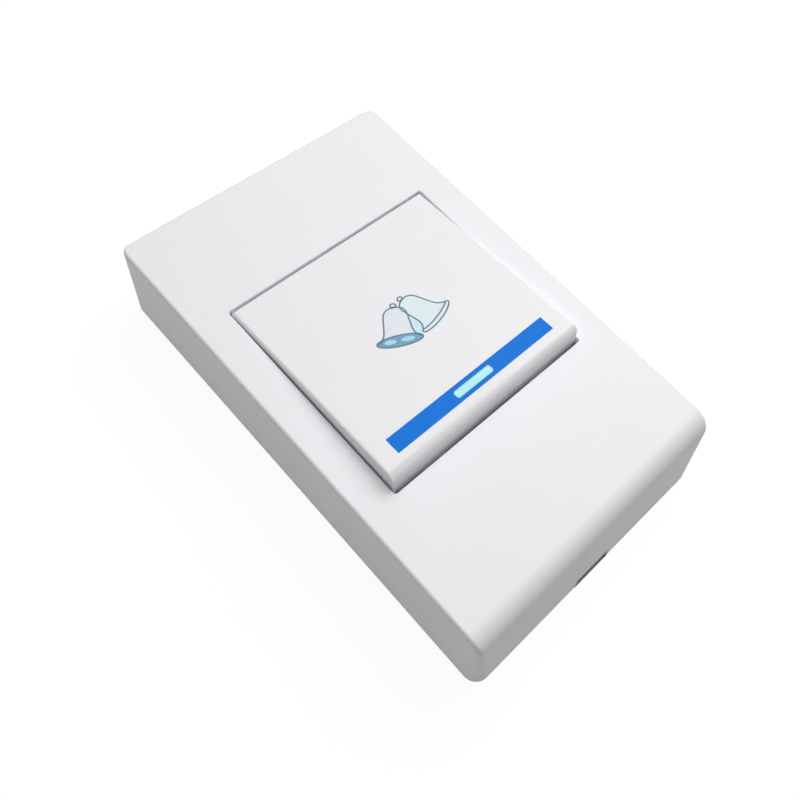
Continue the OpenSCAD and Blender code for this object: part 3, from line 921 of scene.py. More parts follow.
def backdrop_share(tree: bpy.types.NodeTree) -> bpy.types.NodeSocket:
    """Share that is 1 on rays from the camera, from a gloss or through a clear piece, and 0 on other rays.

    Args:
        tree: node tree of the floor or the room.

    Returns:
        The share.
    """
    path = tree.nodes.new("ShaderNodeLightPath")
    share = path.outputs["Is Camera Ray"]
    for name in ("Is Glossy Ray", "Is Transmission Ray"):
        share = work_out(tree, Sum.LARGER, share, path.outputs[name])
    return share


@dataclass(frozen=True)
class FloorFinish(Finish):
    """White studio floor that keeps a soft shadow, with painted shade on the floor inside the pry notch."""

    glow: float = 0.75
    level: float = 1.23
    # Patch, occlusion reach and threshold that place the painted shade on the floor in the pry notch
    notch: tuple[Spot, Spot] = ((0, 4.2), (-44.7, 0.35))
    reach: float = 4.0
    closed_in: float = 0.75
    cloud: float = 60.0
    grey: Colour = (0.42, 0.42, 0.42)
    paler_grey: Colour = (0.44, 0.44, 0.44)
    # Grey of the painted shade on the floor inside the pry notch
    notch_painted_shade_grey: Colour = (0.26, 0.26, 0.26)
    roughness: float = 0.9
    shine: float = 0.1

    def painted_shade_share(self, sheet: NodeSheet) -> bpy.types.NodeSocket:
        """Share of the painted shade: 1 on the floor inside the pry notch while the case stands over it, and
        0 elsewhere.

        Args:
            sheet: the material's sheet.

        Returns:
            The share.
        """
        around = sheet.add("ShaderNodeAmbientOcclusion", Distance=self.reach * MM)
        share = work_out(sheet.tree, Sum.BELOW, around.outputs["AO"], self.closed_in)
        split = sheet.add("ShaderNodeSeparateXYZ", Vector=sheet.place)
        for axis, (middle, half) in zip("XY", self.notch):
            inside = work_out(sheet.tree, Sum.NEARLY, split.outputs[axis], middle * MM, half * MM)
            share = work_out(sheet.tree, Sum.PRODUCT, share, inside)
        return share

    def make(self) -> bpy.types.Material:
        """Write the material's nodes.

        Returns:
            The material.
        """
        sheet = NodeSheet(self.title())
        cloud = sheet.noise(self.cloud)
        sheet.feed(sheet.surface, "Base Color", sheet.blend(cloud, self.grey, self.paler_grey))
        sheet.feed(sheet.surface, "Roughness", self.roughness)
        sheet.feed(sheet.surface, "Specular IOR Level", self.shine)
        white = sheet.add("ShaderNodeEmission", Color=(1, 1, 1, 1), Strength=self.level)
        # Painted shade: a dark grey diffuse on the floor inside the pry notch, mixed in over the lit floor
        notch_painted_shade = sheet.add("ShaderNodeBsdfDiffuse", Color=(*self.notch_painted_shade_grey, 1))
        share = work_out(sheet.tree, Sum.PRODUCT, backdrop_share(sheet.tree), self.glow)
        lit = mixed(sheet.tree, share, sheet.surface.outputs[0], white.outputs[0])
        whole = mixed(sheet.tree, self.painted_shade_share(sheet), lit, notch_painted_shade.outputs[0])
        sheet.tree.links.new(whole, sheet.tree.nodes["Material Output"].inputs["Surface"])
        return sheet.material


CASE_WHITE = MouldedPlastic(
    "case_white", "case_white", (0.925, 0.913, 0.945), (0.935, 0.923, 0.955), 0.44, 0.4, 0.0004, 0.012
)
BUTTON_WHITE = MouldedPlastic(
    "button_white", "button_white", (0.925, 0.917, 0.945), (0.935, 0.927, 0.955), 0.42, 0.4, 0.0004, 0.012
)
COVER_WHITE = MouldedPlastic(
    "cover_white", "cover_white", (0.85, 0.85, 0.86), (0.88, 0.88, 0.89), 0.45, 0.35, 0.006
)
LIGHT_CYAN = MouldedPlastic(
    "light_cyan", "light_cyan", (0.46, 0.93, 0.98), (0.48, 0.95, 1.0), 0.3, 0.4, 0.0005, 0.02
)
STRIPE_BLUE = PrintInk("stripe_blue", "button_white", (0.002, 0.20, 0.80))
LINE_BLUE = PrintInk("line_blue", "button_white", (0.15, 0.26, 0.35))
LILAC = PrintInk("bell_lilac", "button_white", (0.88, 0.93, 1.0))
PALE_BLUE = PrintInk("bell_pale_blue", "button_white", (0.85, 0.97, 1.0))
PALE_AQUA = PrintInk("bell_pale_aqua", "button_white", (0.70, 0.94, 1.0))
MOUTH_BLUE = PrintInk("bell_mouth_blue", "button_white", (0.23, 0.42, 0.62))
PALE_CYAN = PrintInk("bell_pale_cyan", "button_white", (0.46, 0.80, 0.98))
BOARD_GREEN = SolderMask("board_green", "board_green", (0.03, 0.17, 0.07))
TRACK_GREEN = SolderMask("track_green", "board_green", (0.06, 0.26, 0.10))
SCREW_STEEL = PlatedMetal("screw_steel", "screw_steel", (0.62, 0.62, 0.60), 0.3)
SWITCH_BLACK = MouldedPlastic(
    "switch_black", "switch_black", (0.02, 0.02, 0.022), (0.03, 0.03, 0.032), 0.4, 0.2, 0.004
)
SWITCH_STEEL = PlatedMetal("switch_steel", "switch_steel", (0.70, 0.70, 0.69), 0.3, (0.1, 1, 1))
STEM_BLACK = MouldedPlastic("stem_black", "stem_black", (0.015, 0.015, 0.017), (0.025, 0.025, 0.027), 0.35)
TINNED = PlatedMetal("tinned_leads", "tinned_leads", (0.72, 0.72, 0.70), 0.3)
LAMP_LENS = ClearLens("lamp_lens", "lamp_lens", (0.80, 0.93, 0.97))
CHIP_BLACK = MouldedPlastic(
    "chip_black", "chip_black", (0.018, 0.018, 0.02), (0.028, 0.028, 0.03), 0.5, 0.08, 0.006
)
CAN_STEEL = PlatedMetal("can_steel", "can_steel", (0.70, 0.69, 0.66), 0.24, (1, 0.1, 1))
RESISTOR_BLACK = MouldedPlastic(
    "resistor_black", "resistor_black", (0.02, 0.02, 0.025), (0.03, 0.03, 0.035), 0.3
)
CAPACITOR_TAN = MouldedPlastic(
    "capacitor_tan", "capacitor_tan", (0.42, 0.27, 0.15), (0.48, 0.32, 0.19), 0.42, 0.1, 0.004
)
BATTERY_GOLD = BatterySleeve("battery_gold", "battery_gold", (0.72, 0.52, 0.17), (0.03, 0.03, 0.035), 7.5)
TERMINAL_STEEL = PlatedMetal("terminal_steel", "terminal_steel", (0.74, 0.73, 0.71), 0.22)
SPRING_STEEL = PlatedMetal("spring_steel", "spring_steel", (0.66, 0.65, 0.63), 0.25)
CONTACT_STEEL = PlatedMetal("contact_steel", "contact_steel", (0.70, 0.69, 0.67), 0.26, (1, 1, 0.1))
FLOOR_WHITE = FloorFinish("floor_white", "")


def dress(piece: bpy.types.Object, finish: Finish, body: Body, *nodes: str) -> None:
    """Give a new piece its finish and body, and hide the frame nodes that it stands for.

    Args:
        piece: the piece.
        finish: its finish.
        body: the body that it moves with.
        nodes: frame nodes that it stands for.
    """
    piece.data.materials.clear()
    piece.data.materials.append(finish.material())
    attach(piece, body.value)
    if nodes:
        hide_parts(*nodes)
    LOG.info("%s rides on %s, %d faces", piece.name, body.value, len(piece.data.polygons))


def add_piece(draft: MeshDraft, name: str, finish: Finish, body: Body, *nodes: str) -> None:
    """Build, shade and dress a new piece.

    Args:
        draft: the piece's points and faces.
        name: name of the new piece.
        finish: its finish.
        body: the body that it moves with.
        nodes: frame nodes that it stands for.
    """
    piece = draft.build(name)
    shade(piece)
    dress(piece, finish, body, *nodes)


def carry(node: str, finish: Finish, edge: float = 0) -> None:
    """Give a frame node that keeps its mesh a finish and soft edges.

    Args:
        node: the node.
        finish: its finish.
        edge: width of its edges' rounding, or 0 for none.
    """
    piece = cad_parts[node]
    piece.data.materials.clear()
    piece.data.materials.append(finish.material())
    if edge:
        soften(node, edge)
    LOG.info("%s keeps its mesh", node)


# The case


@dataclass
class CaseForm:
    """Outside or inside shape of the case: leaning walls, and a large rounding at the lower end only."""

    half_width: float
    half_length: float
    front: float
    base: float
    height: float
    nose_r: float
    upper_corner_r: float
    foot_corner_r: float
    edge_r: float
    side_lean: float = 0.2
    upper_lean: float = 0.2
    lower_lean: float = 2.9
    rim: float = 0.0
    narrowing: float = 0.8
    wall_steps: int = 8
    edge_steps: int = 10
    nose_steps: int = 24
    corner_steps: int = 12

    def edge_row(self, y: float, z: float, normal: Spot, r: float) -> list[Point]:
        """Row across the rounded left edge, from the side wall to the end, nose or front.

        Args:
            y: place on the sharp edge.
            z: height on the sharp edge.
            normal: direction out of the end, nose or front there, in Y and Z.
            r: rounding of the edge.

        Returns:
            The row's points.
        """
        row = []
        for a in arc(0, 90, self.edge_steps):
            back = r * (1 - math.sin(a))
            row.append((r * (1 - math.cos(a)) - self.half_width, y - normal[0] * back, z - normal[1] * back))
        return row

    def corner_row(self, turn: float) -> list[Point]:
        """Row across the front edge at the upper left corner.

        Args:
            turn: direction from the corner's centre.

        Returns:
            The row's points, from the wall to the front.
        """
        x = self.upper_corner_r - self.half_width
        y = self.half_length - self.upper_corner_r
        row = []
        for inset, z in rounded_edge(self.edge_r, self.front, self.edge_steps):
            reach = self.upper_corner_r - inset
            row.append((x + reach * math.cos(turn), y + reach * math.sin(turn), z))
        return row

    def rounding(self, z: float) -> float:
        """Rounding of the lower corners, wide at the foot and narrow at the front.

        Args:
            z: height above the wall.

        Returns:
            The radius.
        """
        climb = min(max(z / self.front, 0), 1)
        return self.edge_r + (self.foot_corner_r - self.edge_r) * (1 - climb) ** self.narrowing

    def lean(self, point: Point) -> Point:
        """A point after the sides and the upper end lean inwards towards the front.

        Args:
            point: the upright form's point.

        Returns:
            The leaning form's point.
        """
        x, y, z = point
        climb = z / self.height
        end = self.upper_lean if y > 0 else 0
        across = x * (1 - self.side_lean * climb / self.half_width)
        along = y * (1 - end * climb / self.half_length)
        return (across, along, z)

    def end_rows(self) -> list[list[Point]]:
        """Rows across the left edge, from the foot of the leaning lower end round the nose to the front.

        Returns:
            The rows; those on the flat end come first, one for each step of the wall.
        """
        lean = math.atan(self.lower_lean / self.height)
        middle_z = self.front - self.nose_r
        middle_y = middle_z * math.tan(lean) + self.nose_r / math.cos(lean) - self.half_length
        nose_z = middle_z + self.nose_r * math.sin(lean)
        rows = []
        for i in range(self.wall_steps):
            z = self.base + (nose_z - self.base) * i / self.wall_steps
            y = z * math.tan(lean) - self.half_length
            tip = lean * i / self.wall_steps
            rows.append(self.edge_row(y, z, (-math.cos(tip), math.sin(tip)), self.rounding(z)))
        for a in arc(math.degrees(lean), 90, self.nose_steps):
            y, z = middle_y - self.nose_r * math.cos(a), middle_z + self.nose_r * math.sin(a)
            rows.append(self.edge_row(y, z, (-math.cos(a), math.sin(a)), self.rounding(z)))
        return rows

    def solid(self, name: str) -> bpy.types.Object:
        """Closed solid of the form.

        Args:
            name: name of the new object.

        Returns:
            The object.
        """
        rows = self.end_rows()
        brow = len(rows) - 1
        corner = len(rows)
        turns = arc(180, 90, self.corner_steps)
        rows += [self.corner_row(a) for a in turns]
        draft = MeshDraft()
        left = [draft.ring(row) for row in rows]
        right = [draft.ring((-x, y, z) for x, y, z in row) for row in rows]
        for side in (left, right):
            for one, two in zip(side, side[1:]):
                draft.strip(one, two, closed=False)
        draft.strip(left[-1], right[-1], closed=False)
        feet = []
        r = self.upper_corner_r
        x0 = r - self.half_width
        y0 = self.half_length - r
        for side, sign in ((left, 1), (right, -1)):
            foot = draft.ring((sign * (x0 + r * math.cos(a)), y0 + r * math.sin(a), self.base) for a in turns)
            draft.faces.append([row[0] for row in side[: corner + 1]] + [foot[0]])
            draft.strip(foot, [row[0] for row in side[corner:]], closed=False)
            feet.append(foot)
        draft.faces.append([feet[0][-1], feet[1][-1], right[-1][0], left[-1][0]])
        draft.faces.append([row[-1] for row in left[brow:]] + [row[-1] for row in reversed(right[brow:])])
        for i in range(self.wall_steps, brow):
            draft.faces.append([left[i][-1], right[i][-1], right[i + 1][-1], left[i + 1][-1]])
        end = slice(self.wall_steps + 1)
        draft.faces.append([row[-1] for row in left[end]] + [row[-1] for row in reversed(right[end])])
        sole = left[0] + right[0][::-1] + feet[1] + feet[0][::-1]
        if self.rim:
            inner = draft.ring(self.drawn_in(draft.points[i]) for i in sole)
            draft.strip(sole, inner)
            sole = inner
        draft.faces.append(sole)
        draft.bend(self.lean)
        return draft.build(name)

    def drawn_in(self, point: Point) -> Point:
        """A point of the foot's outline after the small bevel of the rim.

        Args:
            point: point of the outline.

        Returns:
            The point on the sole.
        """
        x, y, z = point
        return (x * (1 - self.rim / self.half_width), y * (1 - self.rim / self.half_length), z - self.rim)


@dataclass
class FrontCase:
    """White front case with the opening for the button and the pry notch."""

    wall: float = 2.03
    root: float = 1.9
    nose_r: float = 3.75
    upper_corner_r: float = 1.8
    foot_corner_r: float = 2.6
    edge_r: float = 0.6
    rim: float = 0.15
    least_corner_r: float = 0.8
    least_edge_r: float = 0.4
    open_back: float = -1.0
    opening_half_width: float = 21.01
    opening_upper: float = 23.81
    opening_lower: float = -17.11
    opening_r: float = 0.5
    opening_edge: float = 0.2
    opening_sweep: float = 80
    notch_width: float = 8.0
    notch_height: float = 1.4
    scoop_height: float = 3.0
    notch_r: float = 0.4
    notch_start: float = -0.6
    notch_walls: float = 2.5
    spare: float = 1.0

    def form(self, inset: float, base: float) -> CaseForm:
        """Shape of the case, drawn in from the outside.

        Args:
            inset: distance from the outside.
            base: height of the open back.

        Returns:
            The shape.
        """
        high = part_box("front_case")[1] / MM
        return CaseForm(
            half_width=high.x - inset,
            half_length=high.y - inset,
            front=high.z - inset,
            base=base,
            height=high.z,
            nose_r=self.nose_r - inset,
            upper_corner_r=max(self.upper_corner_r - inset, self.least_corner_r),
            foot_corner_r=max(self.foot_corner_r - inset, self.least_corner_r),
            edge_r=max(self.edge_r - inset, self.least_edge_r),
            rim=self.rim if base > 0 else 0,
        )

    def opening(self, front: float) -> bpy.types.Object:
        """Solid that cuts the opening and rounds its edge.

        Args:
            front: height of the front face.

        Returns:
            The cutting solid.
        """
        middle = (0, (self.opening_upper + self.opening_lower) / 2)
        half_length = (self.opening_upper - self.opening_lower) / 2
        levels = [(0, front - 2 * self.wall)]
        levels += rounded_edge(self.opening_edge, front, 5, self.opening_sweep)
        levels.append((levels[-1][0], front + self.spare))
        rings = []
        for out, z in levels:
            half = (self.opening_half_width + out, half_length + out)
            rings.append([(x, y, z) for x, y in rounded_rect(*half, self.opening_r + out, middle, 8)])
        draft = MeshDraft()
        draft.loft(rings)
        return draft.build("opening_tool")

    def notch(self) -> bpy.types.Object:
        """Solid that cuts the pry notch at the foot of the lower end, scooped up towards the outside.

        Returns:
            The cutting solid.
        """
        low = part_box("front_case")[0] / MM
        rings = []
        for inwards, top in (
            (self.notch_start, self.scoop_height),
            (self.wall, self.notch_height),
            (self.notch_walls * self.wall, self.notch_height),
        ):
            middle = (0, top / 2 - self.spare)
            outline = rounded_rect(self.notch_width / 2, top / 2 + self.spare, self.notch_r, middle)
            rings.append([(x, low.y + inwards, z) for x, z in outline])
        draft = MeshDraft()
        draft.loft(rings)
        return draft.build("notch_tool")

    def build(self) -> None:
        """Make the case: outer skin, hollow, the frame's own ribs and posts, the opening and the notch."""
        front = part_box("front_case")[1].z / MM
        piece = self.form(0, self.rim).solid("front_case_shell")
        work_in(piece, self.form(self.wall, self.open_back).solid("hollow_tool"), Join.CUT)
        inside = copy_of_node("front_case", "inside_tool")
        work_in(inside, self.form(self.root, self.open_back).solid("root_tool"), Join.KEEP_COMMON)
        work_in(piece, inside, Join.ADD)
        work_in(piece, self.opening(front), Join.CUT)
        work_in(piece, self.notch(), Join.CUT)
        shade(piece)
        dress(piece, CASE_WHITE, Body.FRONT, "front_case")


# The button


@dataclass
class RockerButton:
    """White rocking button, level with the case at its upper edge and proud at its lower edge."""

    half_width: float = 20.7
    upper: float = 23.5
    lower: float = -16.5
    crest: float = -16.0
    rise: float = 3.3
    corner_r: float = 0.3
    edge: float = 0.65
    foot_edge: float = 1.7
    spare: float = 0.004
    hook_x: float = 12.0
    hook_half: float = 2.0
    hook_web: float = 0.25
    hook_slot: Spot = (-17.2, -16.51)
    hook_web_top: float = 14.5
    slot_low: float = 12.0
    slot_high: float = 16.0
    slot_r: float = 0.1
    slot_spare: float = 0.1
    skirt: float = 3.0
    skirt_heights: Point = (16.2, 16.0, 8.0)
    least_r: float = 0.1
    least_fall: float = 0.05
    least_step: float = 0.01
    next_row: float = 0.5
    pull: float = 0.45
    end_spare: float = 1.0

    def front(self) -> float:
        """Height of the case's front face."""
        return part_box("front_case")[1].z / MM

    def top(self, y: float) -> float:
        """Height of the button's face at a place along it."""
        return self.front() + self.rise * (self.upper - y) / (self.upper - self.crest)

    def on_face(self, point: Point) -> Point:
        """A flat drawing's point laid on the sloping face."""
        return (point[0], point[1], self.top(point[1]) + point[2])

    def face_row(self, draw_in: float) -> list[Point]:
        """Row round the face.

        Args:
            draw_in: distance from the face's edge.

        Returns:
            The row's points.
        """
        half_length = (self.upper - self.crest) / 2 + self.spare - draw_in
        middle = (0, (self.upper + self.crest) / 2)
        r = max(self.corner_r - draw_in, self.least_r)
        outline = rounded_rect(self.half_width + self.spare - draw_in, half_length, r, middle)
        return [(x, y, self.top(y) + self.spare) for x, y in outline]

    def envelope(self) -> bpy.types.Object:
        """Solid with rounded upper edges that trims the button, wide below for its pins and hooks.

        Returns:
            The solid.
        """
        half_length = (self.upper - self.lower) / 2
        middle = (0, (self.upper + self.lower) / 2)
        waist, hem, low = self.skirt_heights
        foot = rounded_rect(self.half_width + self.spare, half_length + self.spare, self.corner_r, middle)
        skirt = rounded_rect(self.half_width + self.skirt, half_length + self.skirt, self.corner_r, middle)
        rows = (self.face_row(0), self.face_row(self.next_row), foot, skirt)
        columns = []
        for brim, inner, (x, y), (far_x, far_y) in zip(*rows):
            edge = Vector(brim)
            into = (Vector(inner) - edge).normalized() * self.edge
            fall = Vector((x, y, self.front())) - edge
            down = (fall.normalized() if fall.length > self.least_fall else Vector((0, 0, -1))) * self.edge
            pulls = (edge + into * self.pull, edge + down * self.pull)
            column = bezier([edge + into, *pulls, edge + down], 6)
            column.append((x, y, min(self.front(), column[-1][2] - self.least_step)))
            column += [(x, y, waist), (far_x, far_y, hem), (far_x, far_y, low)]
            columns.append(column)
        draft = MeshDraft()
        draft.loft(list(zip(*columns)))
        return draft.build("envelope_tool")

    def foot_round(self) -> bpy.types.Object:
        """Solid that rounds the edge between the face and the foot.

        Returns:
            The cutting solid.
        """
        edge = Vector((self.crest, self.top(self.crest)))
        into = (Vector((self.upper, self.front())) - edge).normalized() * self.foot_edge
        down = (Vector((self.lower, self.front())) - edge).normalized() * self.foot_edge
        pulls = (edge + into * self.pull, edge + down * self.pull)
        section = bezier([edge + into, *pulls, edge + down], 10)
        section += [edge + down - into, edge - into - down, edge + into - down]
        draft = MeshDraft()
        end = self.half_width + self.end_spare
        draft.loft([[(x, y, z) for y, z in section] for x in (-end, end)])
        return draft.build("foot_tool")

    def slot(self, half_width: float, low: float) -> bpy.types.Object:
        """Solid that cuts into the neck of each stop hook.

        Args:
            half_width: half the width of the cut.
            low: height of the cut's floor.

        Returns:
            The cutting solid.
        """
        near, far = self.hook_slot
        draft = MeshDraft()
        for x in (-self.hook_x, self.hook_x):
            outline = rounded_rect(half_width, (far - near) / 2, self.slot_r, (x, (near + far) / 2))
            draft.plate(outline, low, self.slot_high)
        return draft.build("slot_tool")

    def build(self) -> None:
        """Make the button from the frame's own mesh with its upper edges rounded."""
        piece = copy_of_node("push_button", "push_button_shell")
        work_in(piece, self.slot(self.hook_half + self.slot_spare, self.hook_web_top), Join.CUT)
        work_in(piece, self.slot(self.hook_half - self.hook_web, self.slot_low), Join.CUT)
        work_in(piece, self.envelope(), Join.KEEP_COMMON)
        work_in(piece, self.foot_round(), Join.CUT)
        shade(piece)
        dress(piece, BUTTON_WHITE, Body.BUTTON, "push_button")


@dataclass
class LightWindow:
    """Pale bar that lets the lamp's light through the button."""

    length: float = 8.0
    width: float = 1.4
    y: float = -11.8
    corner_r: float = 0.45
    edge: float = 0.12
    flange: float = 0.8
    flange_top: float = -1.82
    foot: float = -2.78
    face: float = -0.01

    def outline(self, grow: float) -> list[Spot]:
        """Outline of the bar.

        Args:
            grow: distance outside its side.

        Returns:
            The outline's points.
        """
        r = self.corner_r + grow
        return rounded_rect(self.length / 2 + grow, self.width / 2 + grow, r, (0, self.y), 8)

    def build(self, button: RockerButton) -> None:
        """Make the bar with its flange behind the button's face.

        Args:
            button: the button that it sits in.
        """
        levels = [(self.flange, self.foot), (self.flange, self.flange_top), (0, self.flange_top)]
        levels += [(-inset, z) for inset, z in rounded_edge(self.edge, self.face, 5)]
        draft = MeshDraft()
        draft.loft([[(x, y, z) for x, y in self.outline(grow)] for grow, z in levels])
        draft.bend(button.on_face)
        add_piece(draft, "light_bar", LIGHT_CYAN, Body.BUTTON, "indicator_window")


@dataclass
class StripePrint:
    """Blue stripe printed across the button round the light bar."""

    length: float = 34.5
    width: float = 3.0
    corner_r: float = 0.12
    ink: float = 0.012
    margin: float = 0.06

    def build(self, button: RockerButton, window: LightWindow) -> None:
        """Make the stripe with a hole for the light bar.

        Args:
            button: the button that it is printed on.
            window: the light bar in its middle.
        """
        draft = MeshDraft()
        outer = rounded_rect(self.length / 2, self.width / 2, self.corner_r, (0, window.y), 8)
        draft.washer(outer, window.outline(self.margin), INK_LIFT, self.ink)
        draft.bend(button.on_face)
        add_piece(draft, "blue_stripe", STRIPE_BLUE, Body.BUTTON)


@dataclass
class BellDrawing:
    """One bell of the pictogram, drawn about the middle of its mouth."""

    middle: Spot
    tilt: float
    half_mouth: float
    height: float
    sway: float
    rim: float = 1.25
    lip_share: float = 0.94
    lip_bow: float = 0.45
    knob_rise: float = 0.42
    knob: Spot = (0.5, 0.36)

    def lay(self, spots: Iterable[Spot]) -> list[Spot]:
        """Turn and move the bell's own points onto the button.

        Args:
            spots: points in the bell's own directions.

        Returns:
            The points on the button.
        """
        c, s = math.cos(math.radians(self.tilt)), math.sin(math.radians(self.tilt))
        swayed = [(x + self.sway * y, y) for x, y in spots]
        return [(self.middle[0] + c * x - s * y, self.middle[1] + s * x + c * y) for x, y in swayed]

    def side(self) -> list[Spot]:
        """Right-hand side line from the crown down to the lip, in the bell's own directions.

        Returns:
            The line's points.
        """
        w, h, end = self.half_mouth, self.height, self.lip_share * self.half_mouth
        crown = ((0, h), (0.28 * w, h), (0.47 * w, 0.94 * h), (0.52 * w, 0.76 * h))
        waist = ((0.52 * w, 0.76 * h), (0.57 * w, 0.58 * h), (0.57 * w, 0.44 * h), (0.62 * w, 0.28 * h))
        flare = ((0.62 * w, 0.28 * h), (0.66 * w, 0.16 * h), (0.76 * w, 0.07 * h), (end, 0.01 * h))
        return curve(crown, waist, flare)

    def body(self) -> list[Spot]:
        """Both side lines from lip to lip over the crown."""
        right = self.side()
        return self.lay([(-x, y) for x, y in reversed(right[1:])] + right)

    def lip(self) -> list[Spot]:
        """Bowed line of the lip, from its left end to its right end.

        Returns:
            The line's points.
        """
        half, low = self.lip_share * self.half_mouth, -1.33 * self.lip_bow
        return self.lay(bezier([(-half, 0), (-0.5 * half, low), (0.5 * half, low), (half, 0)], 16))

    def knob_line(self) -> list[Spot]:
        """Line round the knob above the crown."""
        middle = self.lay([(0, self.height + self.knob_rise)])[0]
        return ellipse(*self.knob, middle, self.tilt, 20)

    def rim_line(self) -> list[Spot]:
        """Outer line of the rounded rim below the lip, from its left end to its right end.

        Returns:
            The line's points.
        """
        w, d, end = self.half_mouth, self.rim, self.lip_share * self.half_mouth
        left = ((-end, 0), (-1.07 * w, 0.05 * d), (-1.09 * w, -0.42 * d), (-0.88 * w, -0.62 * d))
        bow = ((-0.88 * w, -0.62 * d), (-0.42 * w, -1.13 * d), (0.42 * w, -1.13 * d), (0.88 * w, -0.62 * d))
        right = tuple((-x, y) for x, y in reversed(left))
        return self.lay(curve(left, bow, right))


@dataclass
class TwinBells:
    """Plain pictogram of two bells, printed in thin lines and pale fills."""

    line: float = 0.26
    fill_ink: float = 0.006
    line_ink: float = 0.012
    near: BellDrawing = field(default_factory=lambda: BellDrawing((-3.64, 1.53), -26, 3.9, 6.6, 0.095))
    far: BellDrawing = field(default_factory=lambda: BellDrawing((3.99, 1.58), 15, 3.65, 6.2, -0.074))
    mouth_short: float = 1.05
    gap_from: int = 11
    gap_to: int = 13
    shines: tuple[Spot, Spot] = ((-0.42, 0.26), (0.34, 0.3))
    shine_rise: float = 0.06
    shine_short: float = 0.42

    def print_on(self, button: RockerButton, name: str, ink: PrintInk, draft: MeshDraft) -> None:
        """Lay one ink on the button.

        Args:
            button: the button that it is printed on.
            name: name of the new piece.
            ink: the ink.
            draft: the flat drawing.
        """
        draft.bend(button.on_face)
        add_piece(draft, name, ink, Body.BUTTON)

    def fills(self, button: RockerButton) -> None:
        """Print the pale fills.

        Args:
            button: the button that they are printed on.
        """
        near, far, low, high = self.near, self.far, INK_LIFT, self.fill_ink
        lip_back = far.lip()[::-1][1:-1]
        lower_side = far.lay([(-x, y) for x, y in reversed(far.side())])
        gap = near.lay(near.side()[self.gap_from :]) + lower_side[: self.gap_to]
        mouth = ellipse(near.half_mouth, self.mouth_short, near.middle, near.tilt)
        for name, ink, outline, foot, top in (
            ("bell_gap_fill", PALE_AQUA, gap, low / 2, high / 2),
            ("far_bell_fill", PALE_BLUE, far.body() + lip_back, low, high),
            ("far_bell_rim", LILAC, far.rim_line() + lip_back, low, high),
            ("near_bell_fill", LILAC, near.body(), low + high, 2 * high),
            ("near_bell_mouth", MOUTH_BLUE, mouth, low + 2 * high, 3 * high),
        ):
            draft = MeshDraft()
            draft.plate(outline, foot, top)
            self.print_on(button, name, ink, draft)
        draft = MeshDraft()
        for x, long in self.shines:
            spot = near.lay([(x * near.half_mouth, self.shine_rise)])[0]
            outline = ellipse(long * near.half_mouth, self.shine_short * self.mouth_short, spot, near.tilt)
            draft.plate(outline, low + 3 * high, 4 * high)
        self.print_on(button, "near_bell_shine", PALE_CYAN, draft)

    def lines(self, button: RockerButton) -> None:
        """Print the outlines.

        Args:
            button: the button that they are printed on.
        """
        near, far, low = self.near, self.far, INK_LIFT
        draft = MeshDraft()
        high = self.line_ink
        for line in (far.body(), far.lip(), far.rim_line()):
            draft.ribbon(line, self.line, low, high)
        draft.ribbon(far.knob_line(), self.line, low, high, closed=True)
        self.print_on(button, "far_bell_lines", LINE_BLUE, draft)
        draft = MeshDraft()
        high = 2 * self.fill_ink + self.line_ink
        mouth = ellipse(near.half_mouth, self.mouth_short, near.middle, near.tilt, 40)
        draft.ribbon(near.body(), self.line, low, high)
        for line in (mouth, near.knob_line()):
            draft.ribbon(line, self.line, low, high, closed=True)
        self.print_on(button, "near_bell_lines", LINE_BLUE, draft)

    def build(self, button: RockerButton) -> None:
        """Print the whole pictogram.

        Args:
            button: the button that it is printed on.
        """
        self.fills(button)
        self.lines(button)


# The board and its parts


